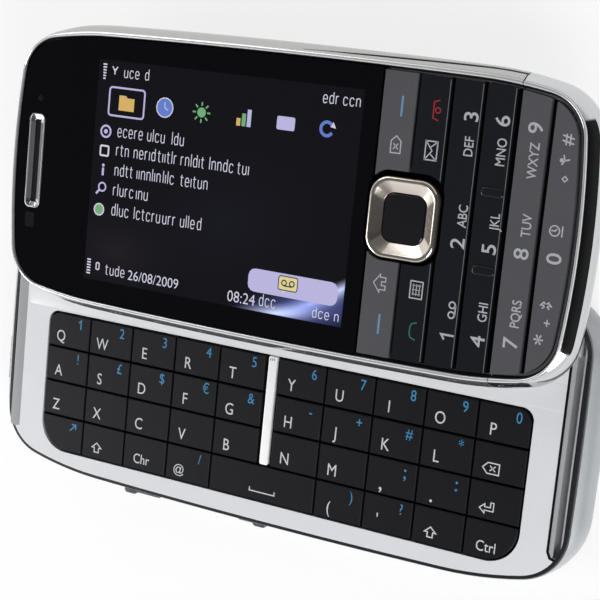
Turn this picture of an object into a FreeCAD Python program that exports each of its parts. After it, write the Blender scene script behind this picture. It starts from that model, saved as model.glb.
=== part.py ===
"""Slider phone: a display half with a number keypad slides off a base with a letter keyboard.

Millimetres. The origin is the middle of the flat back. +X runs along the phone to the number keypad's
end, +Z out of the face, and the display half slides along Y. It is modelled open, as it stands for typing.
"""
import FreeCAD, Part
import math
import operator
import os
import Sketcher

doc = FreeCAD.newDocument("slider_phone")
sheet = doc.addObject("Spreadsheet::Sheet", "Sizes")
sheet_rows = 0
nodes = []


class Size:
    """A length that keeps the sheet expression it comes from, so that sums of sizes stay bound to it."""

    def __init__(self, value, text):
        self.value = float(value)
        self.text = text

    def __add__(self, other):
        return combined(self, other, "+")

    def __sub__(self, other):
        return combined(self, other, "-")

    def __mul__(self, other):
        return combined(self, other, "*")

    def __truediv__(self, other):
        return combined(self, other, "/")

    def __neg__(self):
        return Size(-self.value, f"(0 - {self.text})")


def as_size(amount):
    return amount if isinstance(amount, Size) else Size(amount, f"{amount:g}")


def combined(left, right, sign):
    work = {"+": operator.add, "-": operator.sub, "*": operator.mul, "/": operator.truediv}[sign]
    left, right = as_size(left), as_size(right)
    return Size(work(left.value, right.value), f"({left.text} {sign} {right.text})")


def size(name, value, note):
    """Put one driving dimension in the sheet and return it."""
    global sheet_rows
    sheet_rows += 1
    sheet.set(f"A{sheet_rows}", note)
    sheet.set(f"B{sheet_rows}", f"{value:g}")
    sheet.setAlias(f"B{sheet_rows}", name)
    return Size(value, f"Sizes.{name}")


ZERO = Size(0, "0")

# Sizes shared by both halves
slide_travel = size("slide_travel", 31.0, "how far the display half slides off the base")
side_radius = size("side_radius", 1500.0, "bow of the long sides")
shoulder_radius = size("shoulder_radius", 60.0, "arc between a long side and a corner")
shoulder_start = size("shoulder_start", 33.0, "distance from the middle at which that arc starts")
part_gap = size("part_gap", 0.3, "gap between pieces that move past each other")
slide_gap = size("slide_gap", 0.45, "gap between the deck and the display half")
swell_bands = size("swell_bands", 2.0, "bands between an edge of a housing and its waist")

# Sizes of the base's shells
frame_length = size("frame_length", 110.0, "side frame at its waist, along X")
frame_width = size("frame_width", 50.0, "side frame at its waist, along Y")
frame_corner = size("frame_corner", 10.2, "corner radius at the waist")
waist_level = size("waist_level", 4.9, "height of the waist")
base_end_radius = size("base_end_radius", 600.0, "bow of the base's short ends")
end_wall = size("end_wall", 2.2, "side frame's wall at the ends, at its waist")
side_wall = size("side_wall", 1.3, "side frame's wall along the sides, at its waist")
deck_corner = size("deck_corner", 8.4, "corner radius of the rim")
deck_level = size("deck_level", 8.2, "height of the keyboard's deck")
rim_width = size("rim_width", 0.5, "dark rim round the bezel")
lip_drop = size("lip_drop", 0.5, "side frame's top edge under the deck")
lip_reach = size("lip_reach", 0.3, "side frame's top edge outside the rim")
foot_inset = size("foot_inset", 1.9, "side frame's lower edge inside the waist")
back_inset = size("back_inset", 4.0, "flat back inside the waist")
cover_thickness = size("cover_thickness", 0.9, "battery cover")
bay_ceiling = size("bay_ceiling", 5.7, "height of the battery bay's ceiling")
cover_seam = size("cover_seam", -31.6, "X of the joint between end cap and battery cover")

# Sizes of the keyboard
key_pitch_x = size("key_pitch_x", 8.77, "keyboard pitch along X")
key_pitch_y = size("key_pitch_y", 6.15, "keyboard pitch along Y")
key_gap = size("key_gap", 0.36, "groove between keys")
keys_top_y = size("keys_top_y", 4.62, "Y of the keyboard's upper edge")
bar_slot = size("bar_slot", 2.38, "space for the bar between the key blocks")
bar_width = size("bar_width", 1.9, "bar between the key blocks")
bar_rows = size("bar_rows", 3.0, "rows that the bar runs past")
key_rise = size("key_rise", 0.08, "key tops above the deck")
key_travel = size("key_travel", 0.25, "key travel")
key_clear = size("key_clear", 0.03, "pressed key to the mat")
key_chamfer = size("key_chamfer", 0.12, "bevel round a key's top")
opening_corner_low = size("opening_corner_low", 5.4, "opening's corner radius beside the space row")
opening_corner_high = size("opening_corner_high", 2.0, "opening's corner radius at the first row")
bezel_thickness = size("bezel_thickness", 0.9, "white bezel")
bezel_top_y = size("bezel_top_y", 5.5, "Y of the bezel's edge beside the display half")
bezel_arm = size("bezel_arm", 4.65, "width of the bezel's arms at the ends")
bezel_bay_corner = size("bezel_bay_corner", 8.0, "corner radius between the edge and the arms")
board_thickness = size("board_thickness", 0.6, "circuit board")
mat_thickness = size("mat_thickness", 0.4, "rubber key mat")
board_margin = size("board_margin", 1.6, "circuit board beyond the keys")

# Sizes of the slide rails
rail_width = size("rail_width", 2.0, "rail channel, along X")
rail_height = size("rail_height", 1.2, "rail channel, along Z")
rail_wall = size("rail_wall", 0.25, "sheet that the channel is bent from")
rail_lip = size("rail_lip", 0.65, "lip over the channel, from its inner edge")
rail_edge = size("rail_edge", 0.2, "rail to the rim")
rail_half = size("rail_half", 17.3, "half the length of the rails")
runner_length = size("runner_length", 3.0, "runner hook along Y")
runner_sheet = size("runner_sheet", 0.4, "sheet of the runner")
runner_fit = size("runner_fit", 0.08, "running clearance of the runner in its channel")

# Sizes of the display half
body_length = size("body_length", 105.2, "display half at its waist, along X")
body_width = size("body_width", 48.5, "display half at its waist, along Y")
body_corner = size("body_corner", 8.8, "corner radius at its waist")
body_waist = size("body_waist", 11.3, "height of its waist")
body_end_radius = size("body_end_radius", 140.0, "bow of its short ends")
body_foot_inset = size("body_foot_inset", 0.7, "its lower edge inside its waist")
face_length = size("face_length", 101.2, "chrome ring, along X")
face_width = size("face_width", 46.0, "chrome ring, along Y")
face_corner = size("face_corner", 7.5, "chrome ring's corner radius")
face_level = size("face_level", 14.4, "height of the face")
ring_width = size("ring_width", 0.9, "chrome ring")
ring_height = size("ring_height", 1.1, "chrome ring")
ring_drop = size("ring_drop", 0.75, "top edge of the satin band under the face")
band_reach = size("band_reach", 0.45, "top edge of the satin band outside the ring")
body_wall = size("body_wall", 1.2, "wall of the display half, under the ring")
cap_seam = size("cap_seam", 39.4, "X of the end cap's seam")
window_thickness = size("window_thickness", 1.1, "window over the display")
window_end = size("window_end", 17.3, "X of the window's edge beside the keys")
window_gap = size("window_gap", 0.06, "fit of the window in the ring")
screen_x = size("screen_x", -9.8, "X of the display's centre")
screen_length = size("screen_length", 48.77, "display's active area, along X")
screen_width = size("screen_width", 36.58, "display's active area, along Y")
panel_margin = size("panel_margin", 1.6, "display module beyond its active area")
panel_thickness = size("panel_thickness", 1.9, "display module")
plate_thickness = size("plate_thickness", 0.6, "slide plate under the display half")
ear_x = size("ear_x", -46.05, "X of the earpiece's centre")
ear_length = size("ear_length", 16.0, "earpiece trim, along Y")
ear_width = size("ear_width", 3.3, "earpiece trim, along X")
ear_slot = size("ear_slot", 1.5, "width of the earpiece's slot")

# Sizes of the keys on the face
strip_edges = [
    (size("strip_a_low", 17.65, "softkey strip, low X"),
     size("strip_a_high", 23.05, "softkey strip, high X")),
    (size("strip_b_low", 23.55, "call strip, low X"),
     size("strip_b_high", 28.45, "call strip, high X")),
    (size("row_a_low", 29.05, "first number row, low X"),
     size("row_a_high", 33.6, "first number row, high X")),
    (size("row_b_low", 34.2, "second number row, low X"),
     size("row_b_high", 38.7, "second number row, high X")),
    (size("row_c_low", 39.6, "third number row, low X"),
     size("row_c_high", 44.05, "third number row, high X")),
    (size("row_d_low", 44.9, "fourth number row, low X"),
     size("row_d_high", 51.0, "fourth number row, high X")),
]
strip_height = size("strip_height", 1.1, "thickness of the face keys")
strip_sink = size("strip_sink", 0.05, "face keys under the face")
strip_travel = size("strip_travel", 0.2, "travel of the face keys")
strip_border = size("strip_border", 0.35, "groove between the keys and the ring")
web_clear = size("web_clear", 0.05, "web to the pressed face keys")
pad_x = size("pad_x", 23.05, "X of the direction pad's centre")
pad_side = size("pad_side", 11.9, "direction ring, along X")
pad_width = size("pad_width", 13.1, "direction ring, along Y")
pad_corner = size("pad_corner", 3.0, "direction ring's outer corner radius")
pad_rise = size("pad_rise", 0.2, "direction ring above the face")
pad_height = size("pad_height", 1.2, "direction ring's thickness")
pad_gap = size("pad_gap", 0.35, "groove round the direction ring")
select_length = size("select_length", 6.9, "select key, along X")
select_width = size("select_width", 8.0, "select key, along Y")
select_corner = size("select_corner", 1.6, "select key's corner radius")
select_travel = size("select_travel", 0.25, "travel of the select key")
select_clear = size("select_clear", 0.2, "pressed select key to the tilting mat")
pad_floor = size("pad_floor", 12.0, "height of the floor under the direction pad")
mat_lift = size("mat_lift", 0.2, "tilting mat above that floor")
mat_plate = size("mat_plate", 0.3, "plate of the tilting mat")
mat_inset = size("mat_inset", 0.9, "tilting mat inside the direction ring")
ridge_length = size("ridge_length", 1.0, "ridges that carry the direction ring, along X")
ridge_width = size("ridge_width", 1.4, "ridges that carry the direction ring, along Y")

# Sizes of the ports, side keys and back
port_sink = size("port_sink", 0.1, "sockets, trims and lenses under the surface round them")
port_recess = size("port_recess", 0.7, "mouths of the round sockets behind the chassis's ends")
port_mouth = size("port_mouth", 0.4, "side frame's round openings outside the bores")
port_level = size("port_level", 4.3, "height of the ports' centres")
jack_radius = size("jack_radius", 1.8, "headset socket's bore")
jack_wall = size("jack_wall", 0.8, "headset socket's least wall")
jack_length = size("jack_length", 14.0, "headset socket's bore, along X")
jack_y = size("jack_y", 12.0, "Y of the headset socket")
charge_radius = size("charge_radius", 1.1, "charger socket's bore")
charge_wall = size("charge_wall", 0.7, "charger socket's least wall")
charge_length = size("charge_length", 6.0, "charger socket's bore, along X")
charge_y = size("charge_y", 14.2, "Y of the charger socket")
flap_low = size("flap_low", 2.5, "lower edge of the flaps")
flap_high = size("flap_high", 6.4, "upper edge of the flaps")
usb_flap_x = size("usb_flap_x", -27.3, "X of the data flap's free end")
usb_flap_length = size("usb_flap_length", 13.0, "data flap")
card_flap_x = size("card_flap_x", -3.6, "X of the card flap's free end")
card_flap_length = size("card_flap_length", 16.0, "card flap")
nail_length = size("nail_length", 3.4, "nail lip of a flap")
nail_reach = size("nail_reach", 0.55, "nail lip beyond the flap")
nail_inset = size("nail_inset", 0.4, "nail lip from the flap's free end")
usb_width = size("usb_width", 7.5, "data socket's shell")
usb_height = size("usb_height", 2.7, "data socket's shell")
usb_depth = size("usb_depth", 5.4, "data socket's shell")
shell_sheet = size("shell_sheet", 0.3, "sheet of the socket shells")
card_width = size("card_width", 12.2, "card holder")
card_height = size("card_height", 1.5, "card holder")
card_depth = size("card_depth", 14.0, "card holder")
side_key_height = size("side_key_height", 2.2, "side keys, along Z")
side_key_rise = size("side_key_rise", 0.35, "side keys beyond the frame")
side_key_depth = size("side_key_depth", 1.5, "side keys, through the frame")
side_key_travel = size("side_key_travel", 0.3, "travel of the side keys")
rocker_x = size("rocker_x", -18.0, "X of the volume rocker's centre")
rocker_length = size("rocker_length", 20.0, "volume rocker")
camera_key_x = size("camera_key_x", 26.0, "X of the camera key's centre")
camera_key_length = size("camera_key_length", 9.0, "camera key")
power_key_y = size("power_key_y", -6.0, "Y of the power key's centre")
power_key_length = size("power_key_length", 8.0, "power key")
battery_x = size("battery_x", 28.8, "X of the battery's centre")
battery_length = size("battery_length", 32.0, "battery, along X")
battery_width = size("battery_width", 36.0, "battery, along Y")
battery_thickness = size("battery_thickness", 4.1, "battery")
battery_corner = size("battery_corner", 0.8, "corner radius of the battery")
camera_x = size("camera_x", -42.5, "X of the camera")
camera_y = size("camera_y", 3.2, "Y of the camera")
camera_radius = size("camera_radius", 5.4, "camera trim")
lens_radius = size("lens_radius", 3.9, "camera glass")
camera_side = size("camera_side", 8.6, "camera module, along X and Y")
flash_y = size("flash_y", -5.6, "Y of the flash")
flash_length = size("flash_length", 4.6, "flash window")
flash_width = size("flash_width", 3.0, "flash window")
grille_y = size("grille_y", -13.2, "Y of the loudspeaker grille")
grille_length = size("grille_length", 11.0, "loudspeaker grille, along X")
grille_width = size("grille_width", 5.0, "loudspeaker grille, along Y")
grille_bars = size("grille_bars", 5.0, "slots in the loudspeaker grille")
screw_radius = size("screw_radius", 1.3, "head of a housing screw")
screw_height = size("screw_height", 0.25, "head of a housing screw")
screw_inset = size("screw_inset", 3.3, "screws inside the chassis's long sides")
screw_offset = size("screw_offset", 2.8, "screws beside the end cap's joint")

# Levels and lengths worked out from the sizes
deck_length = frame_length - end_wall * 2
deck_width = frame_width - side_wall * 2
chassis_foot = cover_thickness + part_gap
bezel_seat = deck_level - bezel_thickness
board_seat = bezel_seat - mat_thickness - board_thickness
body_foot = deck_level + slide_gap
keys_half = bar_slot / 2 + key_pitch_x * 5
keys_low_y = keys_top_y - key_pitch_y * 4
keys_mid_y = keys_top_y - key_pitch_y * 2
key_base = bezel_seat + key_clear + key_travel
key_height = deck_level + key_rise - key_base
strip_base = face_level - strip_sink - strip_height
runner_end = slide_travel / 2 + runner_length / 2
web_top = strip_base - strip_travel - web_clear
board_top = face_level - window_thickness - panel_thickness


class Outline:
    """A soft rectangle: bowed sides and ends, with a shoulder arc and a corner arc at each corner."""

    def __init__(self, length, width, corner, end, side=side_radius, shoulder=shoulder_radius):
        self.length, self.width, self.corner = length, width, corner
        self.end, self.side, self.shoulder = end, side, shoulder

    def toward(self, other, share):
        """The outline that lies a share of the way to another one."""
        mine = (self.length, self.width, self.corner, self.end, self.side, self.shoulder)
        theirs = (other.length, other.width, other.corner, other.end, other.side, other.shoulder)
        return Outline(*[a + (b - a) * share for a, b in zip(mine, theirs)])

    def inset(self, wall):
        return Outline(self.length - wall * 2, self.width - wall * 2, self.corner - wall,
                       self.end - wall, self.side - wall, self.shoulder - wall)


deck_outline = Outline(deck_length, deck_width, deck_corner, base_end_radius)
waist_outline = Outline(frame_length, frame_width, frame_corner, base_end_radius)
face_outline = Outline(face_length, face_width, face_corner, body_end_radius)
body_outline = Outline(body_length, body_width, body_corner, body_end_radius)


def new_body(label):
    body = doc.addObject("PartDesign::Body", label)
    body.Label = label
    return body


def new_sketch(body, name, level, plane="XY_Plane"):
    """A sketch on one of the body's own origin planes, raised along the plane's normal."""
    sketch = body.newObject("Sketcher::SketchObject", name)
    support = next(p for p in body.Origin.OriginFeatures if p.Role == plane)
    sketch.AttachmentSupport = [(support, "")]
    sketch.MapMode = "FlatFace"
    sketch.setExpression("AttachmentOffset.Base.z", as_size(level).text)
    return sketch


def bind_datum(sketch, constraint, amount):
    number = sketch.addConstraint(constraint)
    sketch.renameConstraint(number, f"size{number}")
    sketch.setExpression(f"Constraints.size{number}", amount.text)


def pin_point(sketch, geometry, point, x, y):
    """Hold one point of the sketch at x, y."""
    for kind, axis, amount in (("DistanceX", -2, x), ("DistanceY", -1, y)):
        if abs(amount.value) < 1e-9:
            sketch.addConstraint(Sketcher.Constraint("PointOnObject", geometry, point, axis))
        else:
            bind_datum(sketch, Sketcher.Constraint(kind, -1, 1, geometry, point, amount.value), amount)


def arc(x, y, radius, start, stop):
    circle = Part.Circle(FreeCAD.Vector(x, y, 0), FreeCAD.Vector(0, 0, 1), radius)
    return Part.ArcOfCircle(circle, start, stop)


def draw_circle(sketch, x, y, radius):
    centre = FreeCAD.Vector(x.value, y.value, 0)
    number = sketch.addGeometry(Part.Circle(centre, FreeCAD.Vector(0, 0, 1), radius.value), False)
    bind_datum(sketch, Sketcher.Constraint("Radius", number, radius.value), radius)
    pin_point(sketch, number, 3, x, y)


def draw_rectangle(sketch, x, y, length, width, corners=None):
    """A rectangle about x, y. corners holds one radius, or four from the lower left anticlockwise.

    A corner whose radius is ZERO stays sharp.
    """
    low_x, high_x = x - length / 2, x + length / 2
    low_y, high_y = y - width / 2, y + width / 2
    if corners is None:
        draw_polygon(sketch, [(low_x, low_y), (high_x, low_y), (high_x, high_y), (low_x, high_y)])
        return
    radii = list(corners) if isinstance(corners, (list, tuple)) else [corners] * 4
    corner_x = [low_x, high_x, high_x, low_x]
    corner_y = [low_y, low_y, high_y, high_y]
    toward_x = [1, -1, -1, 1]
    toward_y = [1, 1, -1, -1]
    lines, bends = [], {}
    for i in range(4):
        j = (i + 1) % 4
        start = FreeCAD.Vector(corner_x[i].value, corner_y[i].value, 0)
        stop = FreeCAD.Vector(corner_x[j].value, corner_y[j].value, 0)
        along = (stop - start).normalize()
        edge = Part.LineSegment(start + along * radii[i].value, stop - along * radii[j].value)
        lines.append(sketch.addGeometry(edge, False))
        if radii[j].value > 0:
            centre_x = corner_x[j].value + toward_x[j] * radii[j].value
            centre_y = corner_y[j].value + toward_y[j] * radii[j].value
            turn = (i - 1) * math.pi / 2
            bend = arc(centre_x, centre_y, radii[j].value, turn, turn + math.pi / 2)
            bends[i] = sketch.addGeometry(bend, False)
    for i in range(4):
        j = (i + 1) % 4
        if i in bends:
            sketch.addConstraint(Sketcher.Constraint("Tangent", lines[i], 2, bends[i], 1))
            sketch.addConstraint(Sketcher.Constraint("Tangent", bends[i], 2, lines[j], 1))
            bind_datum(sketch, Sketcher.Constraint("Radius", bends[i], radii[j].value), radii[j])
        else:
            sketch.addConstraint(Sketcher.Constraint("Coincident", lines[i], 2, lines[j], 1))
        sketch.addConstraint(Sketcher.Constraint("Horizontal" if i % 2 == 0 else "Vertical", lines[i]))
    for line, kind, amount in zip(lines, ("DistanceY", "DistanceX", "DistanceY", "DistanceX"),
                                  (low_y, high_x, high_y, low_x)):
        bind_datum(sketch, Sketcher.Constraint(kind, -1, 1, line, 1, amount.value), amount)


def draw_polygon(sketch, points):
    """Straight lines through the given points and back to the first."""
    first = sketch.GeometryCount
    count = len(points)
    corners = [FreeCAD.Vector(x.value, y.value, 0) for x, y in points]
    for i in range(count):
        sketch.addGeometry(Part.LineSegment(corners[i], corners[(i + 1) % count]), False)
    for i in range(count):
        sketch.addConstraint(Sketcher.Constraint("Coincident", first + i, 2, first + (i + 1) % count, 1))
        pin_point(sketch, first + i, 1, as_size(points[i][0]), as_size(points[i][1]))


def draw_outline(sketch, shape):
    """The twelve arcs of a soft rectangle about the sketch's origin."""
    half_x, half_y = shape.length.value / 2, shape.width.value / 2
    side, shoulder = shape.side.value, shape.shoulder.value
    corner, end = shape.corner.value, shape.end.value
    side_y, end_x = half_y - side, half_x - end
    lean = math.acos(shoulder_start.value / side)
    join = FreeCAD.Vector(0, side_y, 0) + FreeCAD.Vector(math.cos(lean), math.sin(lean), 0) * side
    centre = join - FreeCAD.Vector(math.cos(lean), math.sin(lean), 0) * shoulder
    bend = meeting_point(centre.x, centre.y, shoulder - corner, end_x, 0, end - corner)
    at_end = math.atan2(bend[1], bend[0] - end_x)
    at_side = math.atan2(bend[1] - centre.y, bend[0] - centre.x)
    quarter = [(end_x, 0, end, 0, at_end), (bend[0], bend[1], corner, at_end, at_side),
               (centre.x, centre.y, shoulder, at_side, lean)]
    arcs = [(end_x, 0, end, -at_end, at_end)] + quarter[1:]
    arcs.append((0, side_y, side, lean, math.pi - lean))
    arcs += [(-x, y, r, math.pi - b, math.pi - a) for x, y, r, a, b in reversed(quarter[1:])]
    arcs.append((-end_x, 0, end, math.pi - at_end, math.pi + at_end))
    arcs += [(-x, -y, r, math.pi + a, math.pi + b) for x, y, r, a, b in quarter[1:]]
    arcs.append((0, -side_y, side, math.pi + lean, 2 * math.pi - lean))
    arcs += [(x, -y, r, -b, -a) for x, y, r, a, b in reversed(quarter[1:])]
    sketch.addGeometry([arc(*values) for values in arcs], False)
    for i in range(12):
        sketch.addConstraint(Sketcher.Constraint("Tangent", i, 2, (i + 1) % 12, 1))
    end_centre, side_centre = shape.length / 2 - shape.end, shape.width / 2 - shape.side
    for number, x, y, radius in ((0, end_centre, ZERO, shape.end), (3, ZERO, side_centre, shape.side),
                                 (6, -end_centre, ZERO, shape.end), (9, ZERO, -side_centre, shape.side)):
        bind_datum(sketch, Sketcher.Constraint("Radius", number, radius.value), radius)
        pin_point(sketch, number, 3, x, y)
    for number in (1, 5, 7, 11):
        bind_datum(sketch, Sketcher.Constraint("Radius", number, corner), shape.corner)
    for number, point, sign in ((3, 1, 1), (3, 2, -1), (9, 1, -1), (9, 2, 1)):
        place = shoulder_start * sign
        bind_datum(sketch, Sketcher.Constraint("DistanceX", -1, 1, number, point, place.value), place)
    for number in (2, 4, 8, 10):
        bind_datum(sketch, Sketcher.Constraint("Radius", number, shoulder), shape.shoulder)


def meeting_point(x_one, y_one, r_one, x_two, y_two, r_two):
    """Where two circles cross, on the side away from the origin."""
    apart = math.hypot(x_two - x_one, y_two - y_one)
    along = (r_one ** 2 - r_two ** 2 + apart ** 2) / (2 * apart)
    across = math.sqrt(r_one ** 2 - along ** 2)
    unit_x, unit_y = (x_two - x_one) / apart, (y_two - y_one) / apart
    middle_x, middle_y = x_one + along * unit_x, y_one + along * unit_y
    choices = [(middle_x - sign * across * unit_y, middle_y + sign * across * unit_x) for sign in (1, -1)]
    return max(choices, key=lambda point: point[0] + point[1])


def pad(body, sketch, depth, both_ways=False):
    feature = body.newObject("PartDesign::Pad", sketch.Name + "_pad")
    feature.Profile = sketch
    feature.setExpression("Length", as_size(depth).text)
    feature.Midplane = both_ways
    sketch.Visibility = False
    doc.recompute()
    return feature


def pocket(body, sketch, depth, upwards=False):
    """Cut down from the sketch, or up from it."""
    feature = body.newObject("PartDesign::Pocket", sketch.Name + "_pocket")
    feature.Profile = sketch
    feature.setExpression("Length", as_size(depth).text)
    feature.Reversed = upwards
    before = body.Shape.Volume
    doc.recompute()
    if body.Shape.Volume > before - 1e-6:
        raise RuntimeError(f"{feature.Name} cuts nothing")
    return feature


def level_edges(shape, level):
    """Names of the edges that lie flat at one height."""
    names = []
    for number, edge in enumerate(shape.Edges, 1):
        box = edge.BoundBox
        if abs(box.ZMin - level.value) < 1e-4 and abs(box.ZMax - level.value) < 1e-4:
            names.append(f"Edge{number}")
    return names


def dress(body, kind, names, amount):
    """A fillet or chamfer on the named edges of the body's tip."""
    base = body.Tip
    feature = body.newObject(f"PartDesign::{kind}", f"{body.Name}_{kind.lower()}")
    feature.Base = (base, names)
    feature.setExpression("Radius" if kind == "Fillet" else "Size", amount.text)
    doc.recompute()
    return feature


def prism(name, shape, low, high):
    """A soft rectangle between two heights."""
    body = new_body(name)
    sketch = new_sketch(body, f"{name}_outline", low)
    draw_outline(sketch, shape)
    pad(body, sketch, high - low)
    return body


def swell(low, low_shape, waist, waist_shape, high, high_shape):
    """Sections of a wall that bulges out to its waist, as heights and outlines."""
    bands = int(swell_bands.value)
    rising = [(index / bands, low, low_shape) for index in range(bands)]
    falling = [(index / bands, high, high_shape) for index in range(bands, -1, -1)]
    return [(level + (waist - level) * part, shape.toward(waist_shape, 1 - (1 - part) ** 2))
            for part, level, shape in rising + falling]


def loft(name, sections):
    """A solid through soft rectangles, given as (height, outline)."""
    body = new_body(name)
    sketches = []
    for number, (level, shape) in enumerate(sections):
        sketch = new_sketch(body, f"{name}_section{number}", level)
        draw_outline(sketch, shape)
        sketches.append(sketch)
    doc.recompute()
    feature = body.newObject("PartDesign::AdditiveLoft", f"{name}_loft")
    feature.Profile = sketches[0]
    feature.Sections = sketches[1:]
    feature.Ruled = True
    doc.recompute()
    return body


def box(name, x, y, z):
    """A block given by its low and high X, Y and Z."""
    block = doc.addObject("Part::Box", name)
    for side, axis, (low, high) in (("Length", "x", x), ("Width", "y", y), ("Height", "z", z)):
        low, high = as_size(low), as_size(high)
        block.setExpression(side, (high - low).text)
        block.setExpression(f"Placement.Base.{axis}", low.text)
    return block


def cylinder(name, x, y, z, radius, length, direction):
    """A cylinder that starts at x, y, z and runs along direction."""
    rod = doc.addObject("Part::Cylinder", name)
    rod.setExpression("Radius", as_size(radius).text)
    rod.setExpression("Height", as_size(length).text)
    rod.Placement = FreeCAD.Placement(FreeCAD.Vector(0, 0, 0),
                                      FreeCAD.Rotation(FreeCAD.Vector(0, 0, 1), FreeCAD.Vector(*direction)))
    for axis, amount in (("x", x), ("y", y), ("z", z)):
        rod.setExpression(f"Placement.Base.{axis}", as_size(amount).text)
    return rod


def cut(name, base, tools):
    feature = doc.addObject("Part::Cut", name)
    feature.Base = base
    feature.Tool = tools[0] if len(tools) == 1 else fused(f"{name}_tools", tools)
    return feature


def fused(name, pieces):
    feature = doc.addObject("Part::MultiFuse", name)
    feature.Shapes = pieces
    return feature


def common(name, first, second):
    feature = doc.addObject("Part::Common", name)
    feature.Base = first
    feature.Tool = second
    return feature


def hand_in(feature, node, slides=False):
    """Name a finished sub-part. A piece of the display half is drawn closed and placed open."""
    feature.Label = node
    if slides:
        feature.setExpression("Placement.Base.y", slide_travel.text)
    nodes.append((node, feature))
    return feature


def build_side_frame():
    """The satin band round the base, with its openings, and the two flaps cut from the same band."""
    foot, waist = waist_outline.inset(foot_inset), waist_outline
    lip = deck_outline.inset(-lip_reach)
    blank = loft("frame_blank", swell(chassis_foot, foot, waist_level, waist, deck_level - lip_drop, lip))
    inside = prism("frame_inside", deck_outline, chassis_foot - 1, deck_level)
    band = cut("frame_band", blank, [inside])
    wall_y, outer_y = deck_width / 2, frame_width / 2
    openings = []
    for label, low_x, length in (("usb", usb_flap_x, usb_flap_length), ("card", card_flap_x, card_flap_length)):
        high_x = low_x + length
        openings.append(box(f"{label}_flap_opening", (low_x - part_gap, high_x + part_gap),
                            (-outer_y - 1, -wall_y + 1), (flap_low - part_gap, flap_high + part_gap)))
        skin = box(f"{label}_flap_block", (low_x, high_x), (-outer_y - 1, -wall_y - part_gap),
                   (flap_low, flap_high))
        lid = common(f"{label}_flap_lid", band, skin)
        lip = new_body(f"{label}_flap_nail")
        sketch = new_sketch(lip, f"{label}_flap_nail_plan", waist_level - nail_reach)
        corners = [nail_reach / 2, nail_reach / 2, ZERO, ZERO]
        nail_x = low_x + nail_inset + nail_length / 2
        draw_rectangle(sketch, nail_x, -outer_y, nail_length, nail_reach * 2, corners)
        pad(lip, sketch, nail_reach * 2)
        hand_in(fused(f"{label}_flap_shape", [lid, lip]), f"{label}_flap")
    middle = port_level
    for label, centre, length in (("rocker", rocker_x, rocker_length),
                                  ("camera", camera_key_x, camera_key_length)):
        half = length / 2 + part_gap
        openings.append(box(f"{label}_opening", (centre - half, centre + half), (wall_y - 1, outer_y + 1),
                            (middle - side_key_height / 2 - part_gap, middle + side_key_height / 2 + part_gap)))
    half = power_key_length / 2 + part_gap
    openings.append(box("power_opening", (-frame_length / 2 - 1, -deck_length / 2 + 1),
                        (power_key_y - half, power_key_y + half),
                        (middle - side_key_height / 2 - part_gap, middle + side_key_height / 2 + part_gap)))
    openings.append(cylinder("jack_opening", -frame_length / 2 - 1, jack_y, middle, jack_radius + port_mouth,
                             jack_length, (1, 0, 0)))
    openings.append(cylinder("charge_opening", frame_length / 2 + 1, charge_y, middle,
                             charge_radius + port_mouth, charge_length, (-1, 0, 0)))
    hand_in(cut("side_frame_shape", band, openings), "side_frame")


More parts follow.
